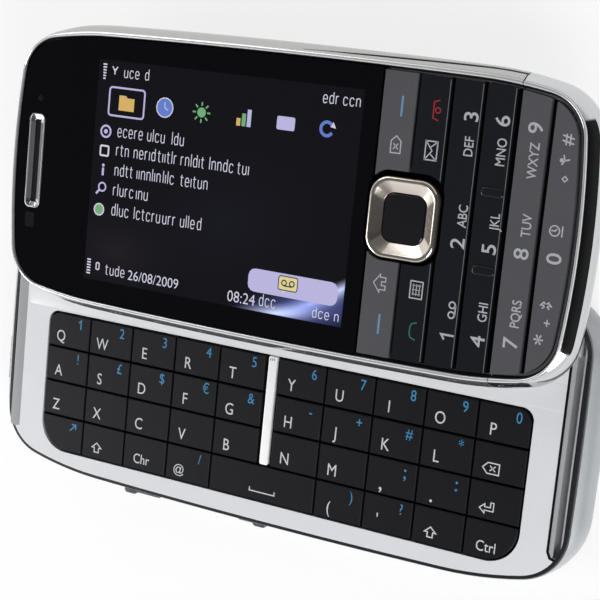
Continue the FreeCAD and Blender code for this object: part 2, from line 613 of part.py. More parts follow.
def build_chassis():
    """The dark chassis: rim, deck, board bay, battery bay and the pockets of the ports."""
    body = prism("chassis", deck_outline, chassis_foot, deck_level)
    sketch = new_sketch(body, "bezel_bay", deck_level)
    draw_outline(sketch, deck_outline.inset(rim_width))
    pocket(body, sketch, bezel_thickness)
    sketch = new_sketch(body, "board_bay", bezel_seat)
    draw_rectangle(sketch, ZERO, keys_mid_y, keys_half * 2 + board_margin * 2,
                   key_pitch_y * 4 + board_margin * 2)
    pocket(body, sketch, bezel_seat - board_seat)
    sketch = new_sketch(body, "battery_bay", chassis_foot)
    draw_rectangle(sketch, battery_x, ZERO, battery_length + part_gap * 2, battery_width + part_gap * 2)
    pocket(body, sketch, bay_ceiling - chassis_foot, upwards=True)
    sketch = new_sketch(body, "camera_bay", chassis_foot)
    draw_rectangle(sketch, camera_x, camera_y, camera_side + part_gap, camera_side + part_gap)
    pocket(body, sketch, bay_ceiling - chassis_foot, upwards=True)
    sketch = new_sketch(body, "speaker_bay", chassis_foot)
    draw_rectangle(sketch, camera_x, grille_y, grille_length, grille_width)
    pocket(body, sketch, bay_ceiling - chassis_foot, upwards=True)
    wall_y, half = deck_width / 2, side_key_height / 2 + part_gap
    reach = side_key_depth + side_key_travel + part_gap
    outer_y, outer_x = frame_width / 2, frame_length / 2
    tools = [
        box("usb_bay", (usb_middle() - usb_width / 2, usb_middle() + usb_width / 2),
            (-wall_y - 1, -wall_y + usb_depth), (port_level - usb_height / 2, port_level + usb_height / 2)),
        box("card_bay", (card_middle() - card_width / 2, card_middle() + card_width / 2),
            (-wall_y - 1, -wall_y + card_depth), (port_level - card_height / 2, port_level + card_height / 2)),
        box("rocker_bay", (rocker_x - rocker_length / 2 - part_gap, rocker_x + rocker_length / 2 + part_gap),
            (outer_y + side_key_rise - reach, wall_y + 1), (port_level - half, port_level + half)),
        box("camera_key_bay", (camera_key_x - camera_key_length / 2 - part_gap,
                               camera_key_x + camera_key_length / 2 + part_gap),
            (outer_y + side_key_rise - reach, wall_y + 1), (port_level - half, port_level + half)),
        box("power_bay", (-deck_length / 2 - 1, -outer_x - side_key_rise + reach),
            (power_key_y - power_key_length / 2 - part_gap, power_key_y + power_key_length / 2 + part_gap),
            (port_level - half, port_level + half)),
    ]
    for name, start, y, radius, wall, length, way in sockets():
        half, back = radius + wall, start + (length + wall) * way
        mouth = start - way
        tools.append(box(f"{name}_bay", (mouth, back) if way > 0 else (back, mouth), (y - half, y + half),
                         (port_level - half, port_level + half)))
    for side in (-1, 1):
        low, high = rail_span(side)
        tools.append(box("rail_bay_" + ("left" if side < 0 else "right"), (low, high),
                         (-rail_half, rail_half), (deck_level - rail_height, deck_level + 1)))
    inner = prism("rail_limit", deck_outline.inset(rim_width), chassis_foot, deck_level + 1)
    rails = common("rail_bays", fused("rail_bay_pair", tools[-2:]), inner)
    hand_in(cut("chassis_shape", body, tools[:-2] + [rails]), "base_housing")
    return inner


def sockets():
    """Round sockets in the end walls: name, X of the mouth, Y, bore radius, wall, bore length, direction."""
    mouth_x = deck_length / 2 - port_recess
    return [("audio_jack", -mouth_x, jack_y, jack_radius, jack_wall, jack_length, 1),
            ("charger_socket", mouth_x, charge_y, charge_radius, charge_wall, charge_length, -1)]


def usb_middle():
    return usb_flap_x + usb_flap_length / 2


def card_middle():
    return card_flap_x + card_flap_length / 2


def rail_span(side):
    """Low and high X of the rail at one end."""
    outer = deck_length / 2 - rim_width - rail_edge
    inner = outer - rail_width
    return (inner, outer) if side > 0 else (-outer, -inner)


def screw_places():
    far_x, near_x = frame_length / 2 - frame_corner, cover_seam + screw_offset
    y = deck_width / 2 - screw_inset
    return [(far_x, y), (far_x, -y), (near_x, y), (near_x, -y)]


def build_rails(inner):
    """Folded steel channels along the deck's ends, and the hooked runners of the display half in them."""
    for side, name in ((-1, "left"), (1, "right")):
        low, high = rail_span(side)
        inner_x, way = (low, 1) if side > 0 else (high, -1)
        outer_x = inner_x + rail_width * way
        wall, lip = rail_wall * way, rail_lip * way
        top, floor = deck_level, deck_level - rail_height
        under, bed = top - rail_wall, floor + rail_wall
        body = new_body(f"rail_{name}_channel")
        sketch = new_sketch(body, f"rail_{name}_profile", -rail_half, "XZ_Plane")
        draw_polygon(sketch, [(inner_x, floor), (outer_x, floor), (outer_x, top), (outer_x - wall, top),
                              (outer_x - wall, bed), (inner_x + wall, bed), (inner_x + wall, under),
                              (inner_x + lip, under), (inner_x + lip, top), (inner_x, top)])
        pad(body, sketch, rail_half * 2)
        hand_in(common(f"rail_{name}_shape", body, inner), f"rail_{name}")
        fit, sheet_x = runner_fit * way, runner_sheet * way
        hook_top, hook_low = under - runner_fit, bed + runner_fit
        stem_x = inner_x + lip + fit
        body = new_body(f"runner_{name}_shape")
        sketch = new_sketch(body, f"runner_{name}_profile", slide_travel - runner_end, "XZ_Plane")
        draw_polygon(sketch, [(inner_x + wall + fit, hook_low), (stem_x + sheet_x, hook_low),
                              (stem_x + sheet_x, body_foot), (stem_x, body_foot), (stem_x, hook_top),
                              (inner_x + wall + fit, hook_top)])
        pad(body, sketch, runner_length)
        hand_in(body, f"runner_{name}", slides=True)


def build_bezel(inner):
    """The white plate round the keys, with arms that run up beside the rails."""
    body = prism("bezel_plate", deck_outline.inset(rim_width), bezel_seat, deck_level)
    sketch = new_sketch(body, "key_opening", deck_level)
    corners = [opening_corner_low, opening_corner_low, opening_corner_high, opening_corner_high]
    draw_rectangle(sketch, ZERO, keys_mid_y, keys_half * 2 + key_gap, key_pitch_y * 4 + key_gap, corners)
    pocket(body, sketch, bezel_thickness)
    sketch = new_sketch(body, "slide_bay", deck_level)
    bay_length = deck_length - rim_width * 2 - bezel_arm * 2
    draw_rectangle(sketch, ZERO, bezel_top_y + deck_width / 2, bay_length, deck_width, bezel_bay_corner)
    pocket(body, sketch, bezel_thickness)
    slots = []
    for side in (-1, 1):
        low, high = rail_span(side)
        edge = rail_edge + 1
        span = (low, high + edge) if side > 0 else (low - edge, high)
        slots.append(box(f"bezel_slot_{side + 1}", span, (-rail_half, deck_width / 2),
                         (bezel_seat - 1, deck_level + 1)))
    hand_in(cut("bezel_shape", body, slots), "keyboard_bezel")


def build_keyboard():
    """Thirty-nine key tops in rows, the bar between the blocks, the mat and the board under them."""
    keys = {(3, "space"): [4]}
    for row in range(4):
        for half, columns in (("left", range(5)), ("right", range(5, 10))):
            keys[(row, half)] = [column for column in columns if row < 3 or column not in (4, 5)]
    for (row, half), columns in keys.items():
        name = "space_key" if half == "space" else f"keys_row_{row + 1}_{half}"
        body = new_body(f"{name}_block")
        sketch = new_sketch(body, f"{name}_plan", key_base)
        for column in columns:
            draw_key(sketch, row, column, half == "space")
        pad(body, sketch, key_height)
        dress(body, "Chamfer", level_edges(body.Shape, deck_level + key_rise), key_chamfer)
        hand_in(body, name)
    bar_length = key_pitch_y * bar_rows - key_gap / 2
    body = new_body("centre_bar_block")
    sketch = new_sketch(body, "centre_bar_plan", bezel_seat)
    draw_rectangle(sketch, ZERO, keys_top_y - bar_length / 2, bar_width, bar_length)
    pad(body, sketch, bezel_thickness + key_rise)
    hand_in(body, "centre_bar")
    for name, low, high in (("circuit_board", board_seat, board_seat + board_thickness),
                            ("key_mat", board_seat + board_thickness, bezel_seat)):
        body = new_body(f"{name}_sheet")
        sketch = new_sketch(body, f"{name}_plan", low)
        margin = board_margin * 2 - part_gap
        draw_rectangle(sketch, ZERO, keys_mid_y, keys_half * 2 + margin, key_pitch_y * 4 + margin)
        pad(body, sketch, high - low)
        hand_in(body, name)


def draw_key(sketch, row, column, is_space):
    """One key top. Outer corners of the block follow the bezel's opening."""
    block = ZERO if column < 5 else bar_slot
    low_x = -keys_half + key_pitch_x * column + block
    length = key_pitch_x * 2 + bar_slot if is_space else key_pitch_x
    corners = [ZERO] * 4
    low, high = opening_corner_low - key_gap / 2, opening_corner_high
    if row == 3 and column == 0:
        corners[0] = low
    if row == 3 and column == 9:
        corners[1] = low
    if row == 0 and column == 9:
        corners[2] = high
    if row == 0 and column == 0:
        corners[3] = high
    draw_rectangle(sketch, low_x + length / 2, keys_top_y - key_pitch_y * row - key_pitch_y / 2,
                   length - key_gap, key_pitch_y - key_gap, corners)


def build_back():
    """End cap with camera, flash and loudspeaker grille, the sliding battery cover and the battery."""
    back, edge = waist_outline.inset(back_inset), waist_outline.inset(foot_inset + 0.2)
    foot = waist_outline.inset(foot_inset)
    outer = frame_length / 2 + 1
    span_y = (-frame_width / 2 - 1, frame_width / 2 + 1)
    blank = loft("cover_blank", [(ZERO, back), (cover_thickness, edge)])
    keep = box("cover_side", (cover_seam + part_gap, outer), span_y, (ZERO - 1, cover_thickness + 1))
    hand_in(common("cover_shape", blank, keep), "battery_cover")
    blank = loft("cap_blank", [(ZERO, back), (chassis_foot, foot)])
    keep = box("cap_side", (-outer, cover_seam), span_y, (ZERO - 1, chassis_foot + 1))
    depth = chassis_foot + 2
    holes = [cylinder("camera_hole", camera_x, camera_y, ZERO - 1, camera_radius, depth, (0, 0, 1)),
             box("flash_hole", (camera_x - flash_length / 2, camera_x + flash_length / 2),
                 (flash_y - flash_width / 2, flash_y + flash_width / 2), (ZERO - 1, chassis_foot + 1)),
             box("grille_hole", (camera_x - grille_length / 2, camera_x + grille_length / 2),
                 (grille_y - grille_width / 2, grille_y + grille_width / 2), (ZERO - 1, chassis_foot + 1))]
    hand_in(cut("cap_shape", common("cap_plate", blank, keep), holes), "back_end_cap")
    rim = cylinder("camera_rim", camera_x, camera_y, port_sink, camera_radius,
                   chassis_foot - port_sink, (0, 0, 1))
    eye = cylinder("camera_eye", camera_x, camera_y, ZERO - 1, lens_radius, depth, (0, 0, 1))
    hand_in(cut("camera_trim_shape", rim, [eye]), "camera_trim")
    hand_in(cylinder("camera_glass_disc", camera_x, camera_y, 0.4, lens_radius, chassis_foot - 0.4, (0, 0, 1)),
            "camera_glass")
    body = new_body("camera_block")
    sketch = new_sketch(body, "camera_plan", chassis_foot)
    draw_rectangle(sketch, camera_x, camera_y, camera_side, camera_side)
    pad(body, sketch, bay_ceiling - chassis_foot)
    hand_in(body, "camera_module")
    body = new_body("flash_block")
    sketch = new_sketch(body, "flash_plan", port_sink)
    draw_rectangle(sketch, camera_x, flash_y, flash_length, flash_width)
    pad(body, sketch, chassis_foot - port_sink)
    hand_in(body, "flash_lens")
    body = new_body("grille_plate")
    sketch = new_sketch(body, "grille_plan", port_sink)
    draw_rectangle(sketch, camera_x, grille_y, grille_length, grille_width)
    pad(body, sketch, chassis_foot - port_sink)
    sketch = new_sketch(body, "grille_slots", port_sink)
    pitch = grille_width / (grille_bars + 1)
    for bar in range(int(grille_bars.value)):
        y = grille_y - grille_width / 2 + pitch * (bar + 1)
        draw_rectangle(sketch, camera_x, y, grille_length - pitch * 2, pitch / 2)
    pocket(body, sketch, chassis_foot, upwards=True)
    hand_in(body, "speaker_grille")
    body = new_body("speaker_block")
    sketch = new_sketch(body, "speaker_plan", chassis_foot)
    draw_rectangle(sketch, camera_x, grille_y, grille_length - part_gap, grille_width - part_gap)
    pad(body, sketch, bay_ceiling - chassis_foot)
    hand_in(body, "loudspeaker")
    body = new_body("battery_block")
    sketch = new_sketch(body, "battery_plan", bay_ceiling - battery_thickness)
    draw_rectangle(sketch, battery_x, ZERO, battery_length, battery_width, battery_corner)
    pad(body, sketch, battery_thickness)
    hand_in(body, "battery")
    body = new_body("screw_set")
    sketch = new_sketch(body, "screw_heads", chassis_foot - screw_height)
    for x, y in screw_places():
        draw_circle(sketch, x, y, screw_radius)
    pad(body, sketch, screw_height)
    hand_in(body, "housing_screws")


def build_ports():
    """Sockets in the end and side walls, and the keys in the side frame."""
    outer_x, outer_y = frame_length / 2, frame_width / 2
    for name, start, y, radius, wall, length, way in sockets():
        half, back = radius + wall, start + (length + wall) * way
        block = box(f"{name}_block", (start, back) if way > 0 else (back, start), (y - half, y + half),
                    (port_level - half, port_level + half))
        bore = cylinder(f"{name}_bore", start, y, port_level, radius, length, (way, 0, 0))
        hand_in(cut(f"{name}_shape", block, [bore]), name)
    wall_y = deck_width / 2
    for name, middle, width, height, depth in (
            ("usb_socket", usb_middle(), usb_width, usb_height, usb_depth),
            ("card_holder", card_middle(), card_width, card_height, card_depth)):
        shell = box(f"{name}_shell", (middle - width / 2, middle + width / 2), (-wall_y, -wall_y + depth),
                    (port_level - height / 2, port_level + height / 2))
        inner = width / 2 - shell_sheet
        mouth = box(f"{name}_mouth", (middle - inner, middle + inner),
                    (-wall_y - 1, -wall_y + depth - shell_sheet),
                    (port_level - height / 2 + shell_sheet, port_level + height / 2 - shell_sheet))
        hand_in(cut(f"{name}_shape", shell, [mouth]), name)
    for name, centre, length in (("volume_rocker", rocker_x, rocker_length),
                                 ("camera_key", camera_key_x, camera_key_length)):
        body = new_body(f"{name}_block")
        sketch = new_sketch(body, f"{name}_plan", port_level - side_key_height / 2)
        corners = [ZERO, ZERO, side_key_rise, side_key_rise]
        draw_rectangle(sketch, centre, outer_y + side_key_rise - side_key_depth / 2, length, side_key_depth,
                       corners)
        pad(body, sketch, side_key_height)
        hand_in(body, name)
    body = new_body("power_key_block")
    sketch = new_sketch(body, "power_key_plan", port_level - side_key_height / 2)
    corners = [side_key_rise, ZERO, ZERO, side_key_rise]
    draw_rectangle(sketch, -outer_x - side_key_rise + side_key_depth / 2, power_key_y, side_key_depth,
                   power_key_length, corners)
    pad(body, sketch, side_key_height)
    hand_in(body, "power_key")


def build_body_shell():
    """The display half's satin band with the mirror end cap, cut from one swept-looking blank."""
    foot, lip = body_outline.inset(body_foot_inset), face_outline.inset(-band_reach)
    top = face_level - ring_drop
    blank = loft("body_blank", swell(body_foot, foot, body_waist, body_outline, top, lip))
    bay = prism("body_bay", face_outline.inset(body_wall), body_foot - 1, face_level + 1)
    seat = prism("ring_seat", face_outline, face_level - ring_height, face_level + 1)
    band = cut("body_band", blank, [bay, seat])
    span_y, span_z = (-body_width, body_width), (body_foot - 1, face_level + 1)
    satin = box("satin_side", (-body_length, cap_seam - 0.05), span_y, span_z)
    mirror = box("mirror_side", (cap_seam + 0.05, body_length), span_y, span_z)
    hand_in(common("upper_housing_shape", band, satin), "upper_housing", slides=True)
    hand_in(common("end_cap_shape", band, mirror), "end_cap", slides=True)
    body = prism("ring_block", face_outline, face_level - ring_height, face_level)
    sketch = new_sketch(body, "ring_hole", face_level)
    draw_outline(sketch, face_outline.inset(ring_width))
    pocket(body, sketch, ring_height)
    hand_in(body, "front_bezel", slides=True)
    body = prism("slide_plate_sheet", face_outline.inset(body_wall + window_gap), body_foot,
                 body_foot + plate_thickness)
    hand_in(body, "slide_plate", slides=True)


def build_pad_hole():
    """The hole that the direction ring stands in, through the key plate and the window's edge."""
    hole = new_body("pad_hole")
    sketch = new_sketch(hole, "pad_hole_plan", pad_floor)
    draw_rectangle(sketch, pad_x, ZERO, pad_side + pad_gap * 2, pad_width + pad_gap * 2, pad_corner + pad_gap)
    pad(hole, sketch, face_level - pad_floor + 1)
    return hole


def build_display(pad_hole):
    """Window, display module, the board behind it and the earpiece trim."""
    low = face_level - window_thickness
    glass = prism("window_glass", face_outline.inset(ring_width + window_gap), low, face_level)
    keep = box("window_side", (-face_length, window_end), (-face_width, face_width), (low - 1, face_level + 1))
    window = common("window_plate", glass, keep)
    hole = new_body("ear_hole")
    sketch = new_sketch(hole, "ear_hole_plan", low - 1)
    draw_rectangle(sketch, ear_x, ZERO, ear_width, ear_length, ear_width / 2 - 0.01)
    pad(hole, sketch, window_thickness + 2)
    hand_in(cut("window_shape", window, [hole, pad_hole]), "display_window", slides=True)
    body = new_body("panel_block")
    sketch = new_sketch(body, "panel_plan", low - panel_thickness)
    draw_rectangle(sketch, screen_x, ZERO, screen_length + panel_margin * 2, screen_width + panel_margin * 2)
    pad(body, sketch, panel_thickness)
    hand_in(body, "display_panel", slides=True)
    body = new_body("display_board_sheet")
    sketch = new_sketch(body, "display_board_plan", body_foot + plate_thickness)
    bay = face_length - body_wall * 2 - face_corner
    draw_rectangle(sketch, ZERO, ZERO, bay, face_width - body_wall * 2 - face_corner)
    pad(body, sketch, board_top - body_foot - plate_thickness)
    hand_in(body, "display_board", slides=True)
    body = new_body("ear_trim")
    sketch = new_sketch(body, "ear_trim_plan", low)
    draw_rectangle(sketch, ear_x, ZERO, ear_width, ear_length, ear_width / 2 - 0.01)
    pad(body, sketch, window_thickness + 0.05)
    sketch = new_sketch(body, "ear_slot_plan", face_level + 0.05)
    draw_rectangle(sketch, ear_x, ZERO, ear_slot, ear_length - ear_width + ear_slot, ear_slot / 2 - 0.01)
    pocket(body, sketch, window_thickness - 0.3)
    hand_in(body, "earpiece_grille", slides=True)


def build_face_keys(pad_hole):
    """Key strips cut from one plate inside the ring, the direction pad, the select key and the web."""
    field = prism("key_field", face_outline.inset(ring_width + strip_border), strip_base,
                  face_level - strip_sink)
    plate = cut("key_plate", field, [pad_hole])
    span_z = (strip_base - 1, face_level + 1)
    half = face_width
    names = ["softkey_strip", "call_strip", "number_row_1", "number_row_2", "number_row_3", "number_row_4"]
    for name, (low, high) in zip(names, strip_edges):
        if name.endswith("strip"):
            for side, span_y in (("upper", (ZERO, half)), ("lower", (-half, ZERO))):
                block = box(f"{name}_{side}_side", (low, high), span_y, span_z)
                hand_in(common(f"{name}_{side}_shape", plate, block), f"{name}_{side}", slides=True)
        else:
            block = box(f"{name}_side", (low, high), (-half, half), span_z)
            hand_in(common(f"{name}_shape", plate, block), name, slides=True)
    web = prism("web_blank", face_outline.inset(body_wall + window_gap), board_top, web_top)
    keep = box("web_side", (window_end, face_length), (-half, half), (board_top - 1, web_top + 1))
    hand_in(cut("web_shape", common("web_plate", web, keep), [pad_hole]), "keypad_web", slides=True)
    top = face_level + pad_rise
    body = new_body("pad_ring_block")
    sketch = new_sketch(body, "pad_ring_plan", top - pad_height)
    draw_rectangle(sketch, pad_x, ZERO, pad_side, pad_width, pad_corner)
    pad(body, sketch, pad_height)
    sketch = new_sketch(body, "pad_ring_hole", top)
    draw_rectangle(sketch, pad_x, ZERO, select_length + pad_gap * 2, select_width + pad_gap * 2,
                   select_corner + pad_gap)
    pocket(body, sketch, pad_height)
    dress(body, "Chamfer", level_edges(body.Shape, top), pad_rise)
    hand_in(body, "direction_ring", slides=True)
    low = pad_floor + mat_lift
    body = new_body("pad_mat_block")
    sketch = new_sketch(body, "pad_mat_plan", low)
    draw_rectangle(sketch, pad_x, ZERO, pad_side - mat_inset * 2, pad_width - mat_inset * 2)
    pad(body, sketch, mat_plate)
    sketch = new_sketch(body, "pad_mat_ridges", low + mat_plate)
    ridge_y = pad_width / 2 - mat_inset - ridge_width / 2
    draw_rectangle(sketch, pad_x, ridge_y, ridge_length, ridge_width)
    draw_rectangle(sketch, pad_x, -ridge_y, ridge_length, ridge_width)
    pad(body, sketch, top - pad_height - 0.02 - low - mat_plate)
    hand_in(body, "direction_mat", slides=True)
    body = new_body("select_block")
    base = pad_floor + mat_lift + mat_plate + select_clear + select_travel
    sketch = new_sketch(body, "select_plan", base)
    draw_rectangle(sketch, pad_x, ZERO, select_length, select_width, select_corner)
    pad(body, sketch, top - base)
    dress(body, "Chamfer", level_edges(body.Shape, top), pad_rise)
    hand_in(body, "select_key", slides=True)


build_side_frame()
rail_limit = build_chassis()
build_rails(rail_limit)
build_bezel(rail_limit)
build_keyboard()
build_back()
build_ports()
build_body_shell()
pad_space = build_pad_hole()
build_display(pad_space)
build_face_keys(pad_space)
doc.recompute()

for item in doc.Objects:
    if {"Invalid", "Error"} & set(item.State):
        raise RuntimeError(f"{item.Label}: {item.State}")
for node, feature in nodes:
    if feature.Shape.isNull() or not feature.Shape.isValid() or not feature.Shape.Solids:
        raise RuntimeError(f"{node} has no valid shape")
os.makedirs("parts", exist_ok=True)
for node, feature in nodes:
    feature.Shape.exportStep(f"parts/{node}.step")
print(len(nodes), "sub-parts")
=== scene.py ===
import math
import random
import bmesh
import bpy
from mathutils import Matrix, Vector


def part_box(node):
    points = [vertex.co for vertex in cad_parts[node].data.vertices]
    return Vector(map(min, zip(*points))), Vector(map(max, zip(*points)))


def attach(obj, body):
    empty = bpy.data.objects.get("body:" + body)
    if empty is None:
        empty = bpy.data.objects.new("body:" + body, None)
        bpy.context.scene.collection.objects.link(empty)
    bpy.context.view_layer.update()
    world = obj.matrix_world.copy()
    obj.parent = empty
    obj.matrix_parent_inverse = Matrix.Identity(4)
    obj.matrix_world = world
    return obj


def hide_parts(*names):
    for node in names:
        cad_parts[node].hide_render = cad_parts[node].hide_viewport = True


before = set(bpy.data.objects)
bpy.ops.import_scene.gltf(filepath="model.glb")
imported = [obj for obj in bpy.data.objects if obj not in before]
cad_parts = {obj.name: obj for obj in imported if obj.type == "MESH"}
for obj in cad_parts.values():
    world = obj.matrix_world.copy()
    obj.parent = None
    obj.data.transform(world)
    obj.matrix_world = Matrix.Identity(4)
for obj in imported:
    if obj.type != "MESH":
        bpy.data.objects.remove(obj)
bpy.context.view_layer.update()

# Camera: it stands over the keypad's end and looks down along the phone, as the photographer's did.
# Its lens and place were solved from the phone's straight edges.
mm = 0.001
camera_right = (0.874731, 0.097198, -0.474762)
camera_up = (-0.164531, 0.981054, -0.102290)
camera_back = (0.455824, 0.167589, 0.874150)
camera_place = (0.120318, 0.057415, 0.231547)
camera_lens = 95.55
camera_data = bpy.data.cameras.new("photo_camera")
camera_data.sensor_width = 36
camera_data.lens = camera_lens
camera_data.clip_start = 0.01
camera = bpy.data.objects.new("photo_camera", camera_data)
placed = Matrix.Identity(4)
for column, direction in enumerate((camera_right, camera_up, camera_back, camera_place)):
    for row in range(3):
        placed[row][column] = direction[row]
camera.matrix_world = placed
bpy.context.scene.collection.objects.link(camera)
bpy.context.scene.camera = camera
bpy.context.scene.view_settings.view_transform = "Standard"

# Studio: a pale table top under a room that is bright near the table and dark overhead, so that plated
# edges show a light line and a dark one. Three softboxes light the phone, and the room is dark beyond the
# keypad's end, for the mirror-plated cap.
table_half = 3.0
table_colour = (0.93, 0.93, 0.935)
table_white = 0.8
sky_steps = [(0.0, 0.95), (0.30, 0.92), (0.46, 0.6), (0.62, 0.25), (0.78, 0.1), (1.0, 0.08)]
dark_way, dark_edge, dark_full, dark_level = (0.999, 0.035, 0.0), 0.82, 0.86, 0.03


def softbox(name, place, side, watts, aim=(0.0, 0.015, 0.0)):
    """A square lamp that faces a point on the phone."""
    lamp = bpy.data.lights.new(name, "AREA")
    lamp.size = side
    lamp.energy = watts
    holder = bpy.data.objects.new(name, lamp)
    holder.location = place
    holder.rotation_euler = (Vector(aim) - Vector(place)).to_track_quat("-Z", "Y").to_euler()
    bpy.context.scene.collection.objects.link(holder)


softbox("right_softbox", (0.62, -0.60, 0.50), 0.5, 9.0)
softbox("left_softbox", (-0.75, -0.30, 0.42), 0.45, 4.3)
softbox("far_softbox", (-0.60, 0.62, 0.42), 0.5, 1.8)
room = bpy.data.worlds.new("studio_room")
room.use_nodes = True
room_nodes, room_links = room.node_tree.nodes, room.node_tree.links
looking = room_nodes.new("ShaderNodeTexCoord")
height_of = room_nodes.new("ShaderNodeSeparateXYZ")
sky = room_nodes.new("ShaderNodeValToRGB")
while len(sky.color_ramp.elements) < len(sky_steps):
    sky.color_ramp.elements.new(0.5)
for stop, (height, level) in zip(sky.color_ramp.elements, sky_steps):
    stop.position = height
    stop.color = (level, level, level * 1.01, 1)
room_links.new(looking.outputs["Generated"], height_of.inputs[0])
room_links.new(height_of.outputs["Z"], sky.inputs["Fac"])
room_links.new(sky.outputs["Color"], room_nodes["Background"].inputs["Color"])
level_way = room_nodes.new("ShaderNodeVectorMath")
level_way.operation = "MULTIPLY"
level_way.inputs[1].default_value = (1, 1, 0)
compass = room_nodes.new("ShaderNodeVectorMath")
compass.operation = "NORMALIZE"
facing = room_nodes.new("ShaderNodeVectorMath")
facing.operation = "DOT_PRODUCT"
facing.inputs[1].default_value = dark_way
dimming = room_nodes.new("ShaderNodeMapRange")
dimming.interpolation_type = "SMOOTHSTEP"
dimming.inputs["From Min"].default_value = dark_edge
dimming.inputs["From Max"].default_value = dark_full
dimming.inputs["To Min"].default_value = 1.0
dimming.inputs["To Max"].default_value = dark_level
room_links.new(looking.outputs["Generated"], level_way.inputs[0])
room_links.new(level_way.outputs["Vector"], compass.inputs[0])
room_links.new(compass.outputs["Vector"], facing.inputs[0])
room_links.new(facing.outputs["Value"], dimming.inputs["Value"])
room_links.new(dimming.outputs["Result"], room_nodes["Background"].inputs["Strength"])
bpy.context.scene.world = room

table = bmesh.new()
bmesh.ops.create_grid(table, x_segments=4, y_segments=4, size=table_half)
table_data = bpy.data.meshes.new("table_top")
table.to_mesh(table_data)
table.free()
table_top = bpy.data.objects.new("table_top", table_data)
table_top.location.z = -0.02 * mm
bpy.context.scene.collection.objects.link(table_top)
table_paint = bpy.data.materials.new("table_paint")
table_paint.use_nodes = True
table_nodes, table_links = table_paint.node_tree.nodes, table_paint.node_tree.links
table_shader = table_nodes["Principled BSDF"]
table_shader.inputs["Base Color"].default_value = (*table_colour, 1)
table_shader.inputs["Roughness"].default_value = 0.8
table_shader.inputs["Specular IOR Level"].default_value = 0.2
light_path = table_nodes.new("ShaderNodeLightPath")
seen = light_path.outputs["Is Camera Ray"]
for other in ("Is Glossy Ray", "Is Transmission Ray"):
    either = table_nodes.new("ShaderNodeMath")
    either.operation = "MAXIMUM"
    table_links.new(seen, either.inputs[0])
    table_links.new(light_path.outputs[other], either.inputs[1])
    seen = either.outputs["Value"]
share = table_nodes.new("ShaderNodeMath")
share.operation = "MULTIPLY"
share.inputs[1].default_value = table_white
table_links.new(seen, share.inputs[0])
plain_white = table_nodes.new("ShaderNodeEmission")
blend = table_nodes.new("ShaderNodeMixShader")
table_links.new(share.outputs["Value"], blend.inputs[0])
table_links.new(table_shader.outputs["BSDF"], blend.inputs[1])
table_links.new(plain_white.outputs["Emission"], blend.inputs[2])
table_links.new(blend.outputs["Shader"], table_nodes["Material Output"].inputs["Surface"])
table_data.materials.append(table_paint)

# Side frame: one moulded plastic band round the base, painted satin silver. It bulges to a waist and has
# openings for the side keys, the port flaps and the two round sockets.
frame_paint = (172, 175, 178)
deck_shape = (105.6, 47.4, 8.4, 600.0, 1500.0, 60.0)
waist_shape = (110.0, 49.5, 12.4, 600.0, 1500.0, 60.0)
foot_shape = (107.6, 47.9, 9.3, 600.0, 1500.0, 60.0)
waist_shift = 0.25
shoulder_start = 33.0
arc_steps = (5, 12, 6, 8)
frame_foot, frame_waist, frame_top = 1.2, 4.9, 7.7
lip_reach = 0.3
port_level = 4.3
flap_spans = {"usb_flap": (-27.3, -14.3), "card_flap": (-3.6, 12.4)}
flap_low, flap_high, seam = 2.5, 6.4, 0.3


def shade(red, green, blue):
    """A colour as a screen names it, from 0 to 255, turned into what a shader takes."""
    return tuple((part / 255 / 12.92) if part < 11 else ((part / 255 + 0.055) / 1.055) ** 2.4
                 for part in (red, green, blue))


def finish(name, colour, rough, metal=0.0, gloss=0.5, coat=0.0, grain=0.2, relief=0.003, tone=0.05,
           polish=0.04, stretch=(1, 1, 1)):
    """A surface with uneven tone, uneven polish and a fine grain, its sizes in millimetres."""
    material = bpy.data.materials.new(name)
    material.use_nodes = True
    material.diffuse_color = (*shade(*colour), 1)
    nodes, links = material.node_tree.nodes, material.node_tree.links
    shader = nodes["Principled BSDF"]
    shader.inputs["Metallic"].default_value = metal
    shader.inputs["Specular IOR Level"].default_value = gloss
    shader.inputs["Coat Weight"].default_value = coat
    shader.inputs["Coat Roughness"].default_value = 0.08
    place = nodes.new("ShaderNodeTexCoord")
    clouds = nodes.new("ShaderNodeTexNoise")
    clouds.inputs["Scale"].default_value = 1 / (5 * mm)
    clouds.inputs["Detail"].default_value = 4
    links.new(place.outputs["Object"], clouds.inputs["Vector"])
    tones = nodes.new("ShaderNodeMix")
    tones.data_type = "RGBA"
    tones.inputs["A"].default_value = (*[part * (1 - tone) for part in shade(*colour)], 1)
    tones.inputs["B"].default_value = (*[min(part * (1 + tone), 1) for part in shade(*colour)], 1)
    links.new(clouds.outputs["Fac"], tones.inputs["Factor"])
    links.new(tones.outputs["Result"], shader.inputs["Base Color"])
    scale = nodes.new("ShaderNodeMapping")
    scale.inputs["Scale"].default_value = [part / (grain * mm) for part in stretch]
    links.new(place.outputs["Object"], scale.inputs["Vector"])
    grit = nodes.new("ShaderNodeTexNoise")
    grit.inputs["Scale"].default_value = 1
    grit.inputs["Detail"].default_value = 3
    links.new(scale.outputs["Vector"], grit.inputs["Vector"])
    wipe = nodes.new("ShaderNodeMapRange")
    wipe.inputs["From Min"].default_value = 0.3
    wipe.inputs["From Max"].default_value = 0.7
    wipe.inputs["To Min"].default_value = max(rough - polish, 0.02)
    wipe.inputs["To Max"].default_value = rough + polish
    links.new(grit.outputs["Fac"], wipe.inputs["Value"])
    links.new(wipe.outputs["Result"], shader.inputs["Roughness"])
    bump = nodes.new("ShaderNodeBump")
    bump.inputs["Distance"].default_value = relief * mm
    links.new(grit.outputs["Fac"], bump.inputs["Height"])
    links.new(bump.outputs["Normal"], shader.inputs["Normal"])
    return material


def inset(shape, wall):
    length, width, *radii = shape
    return (length - wall * 2, width - wall * 2, *[radius - wall for radius in radii])


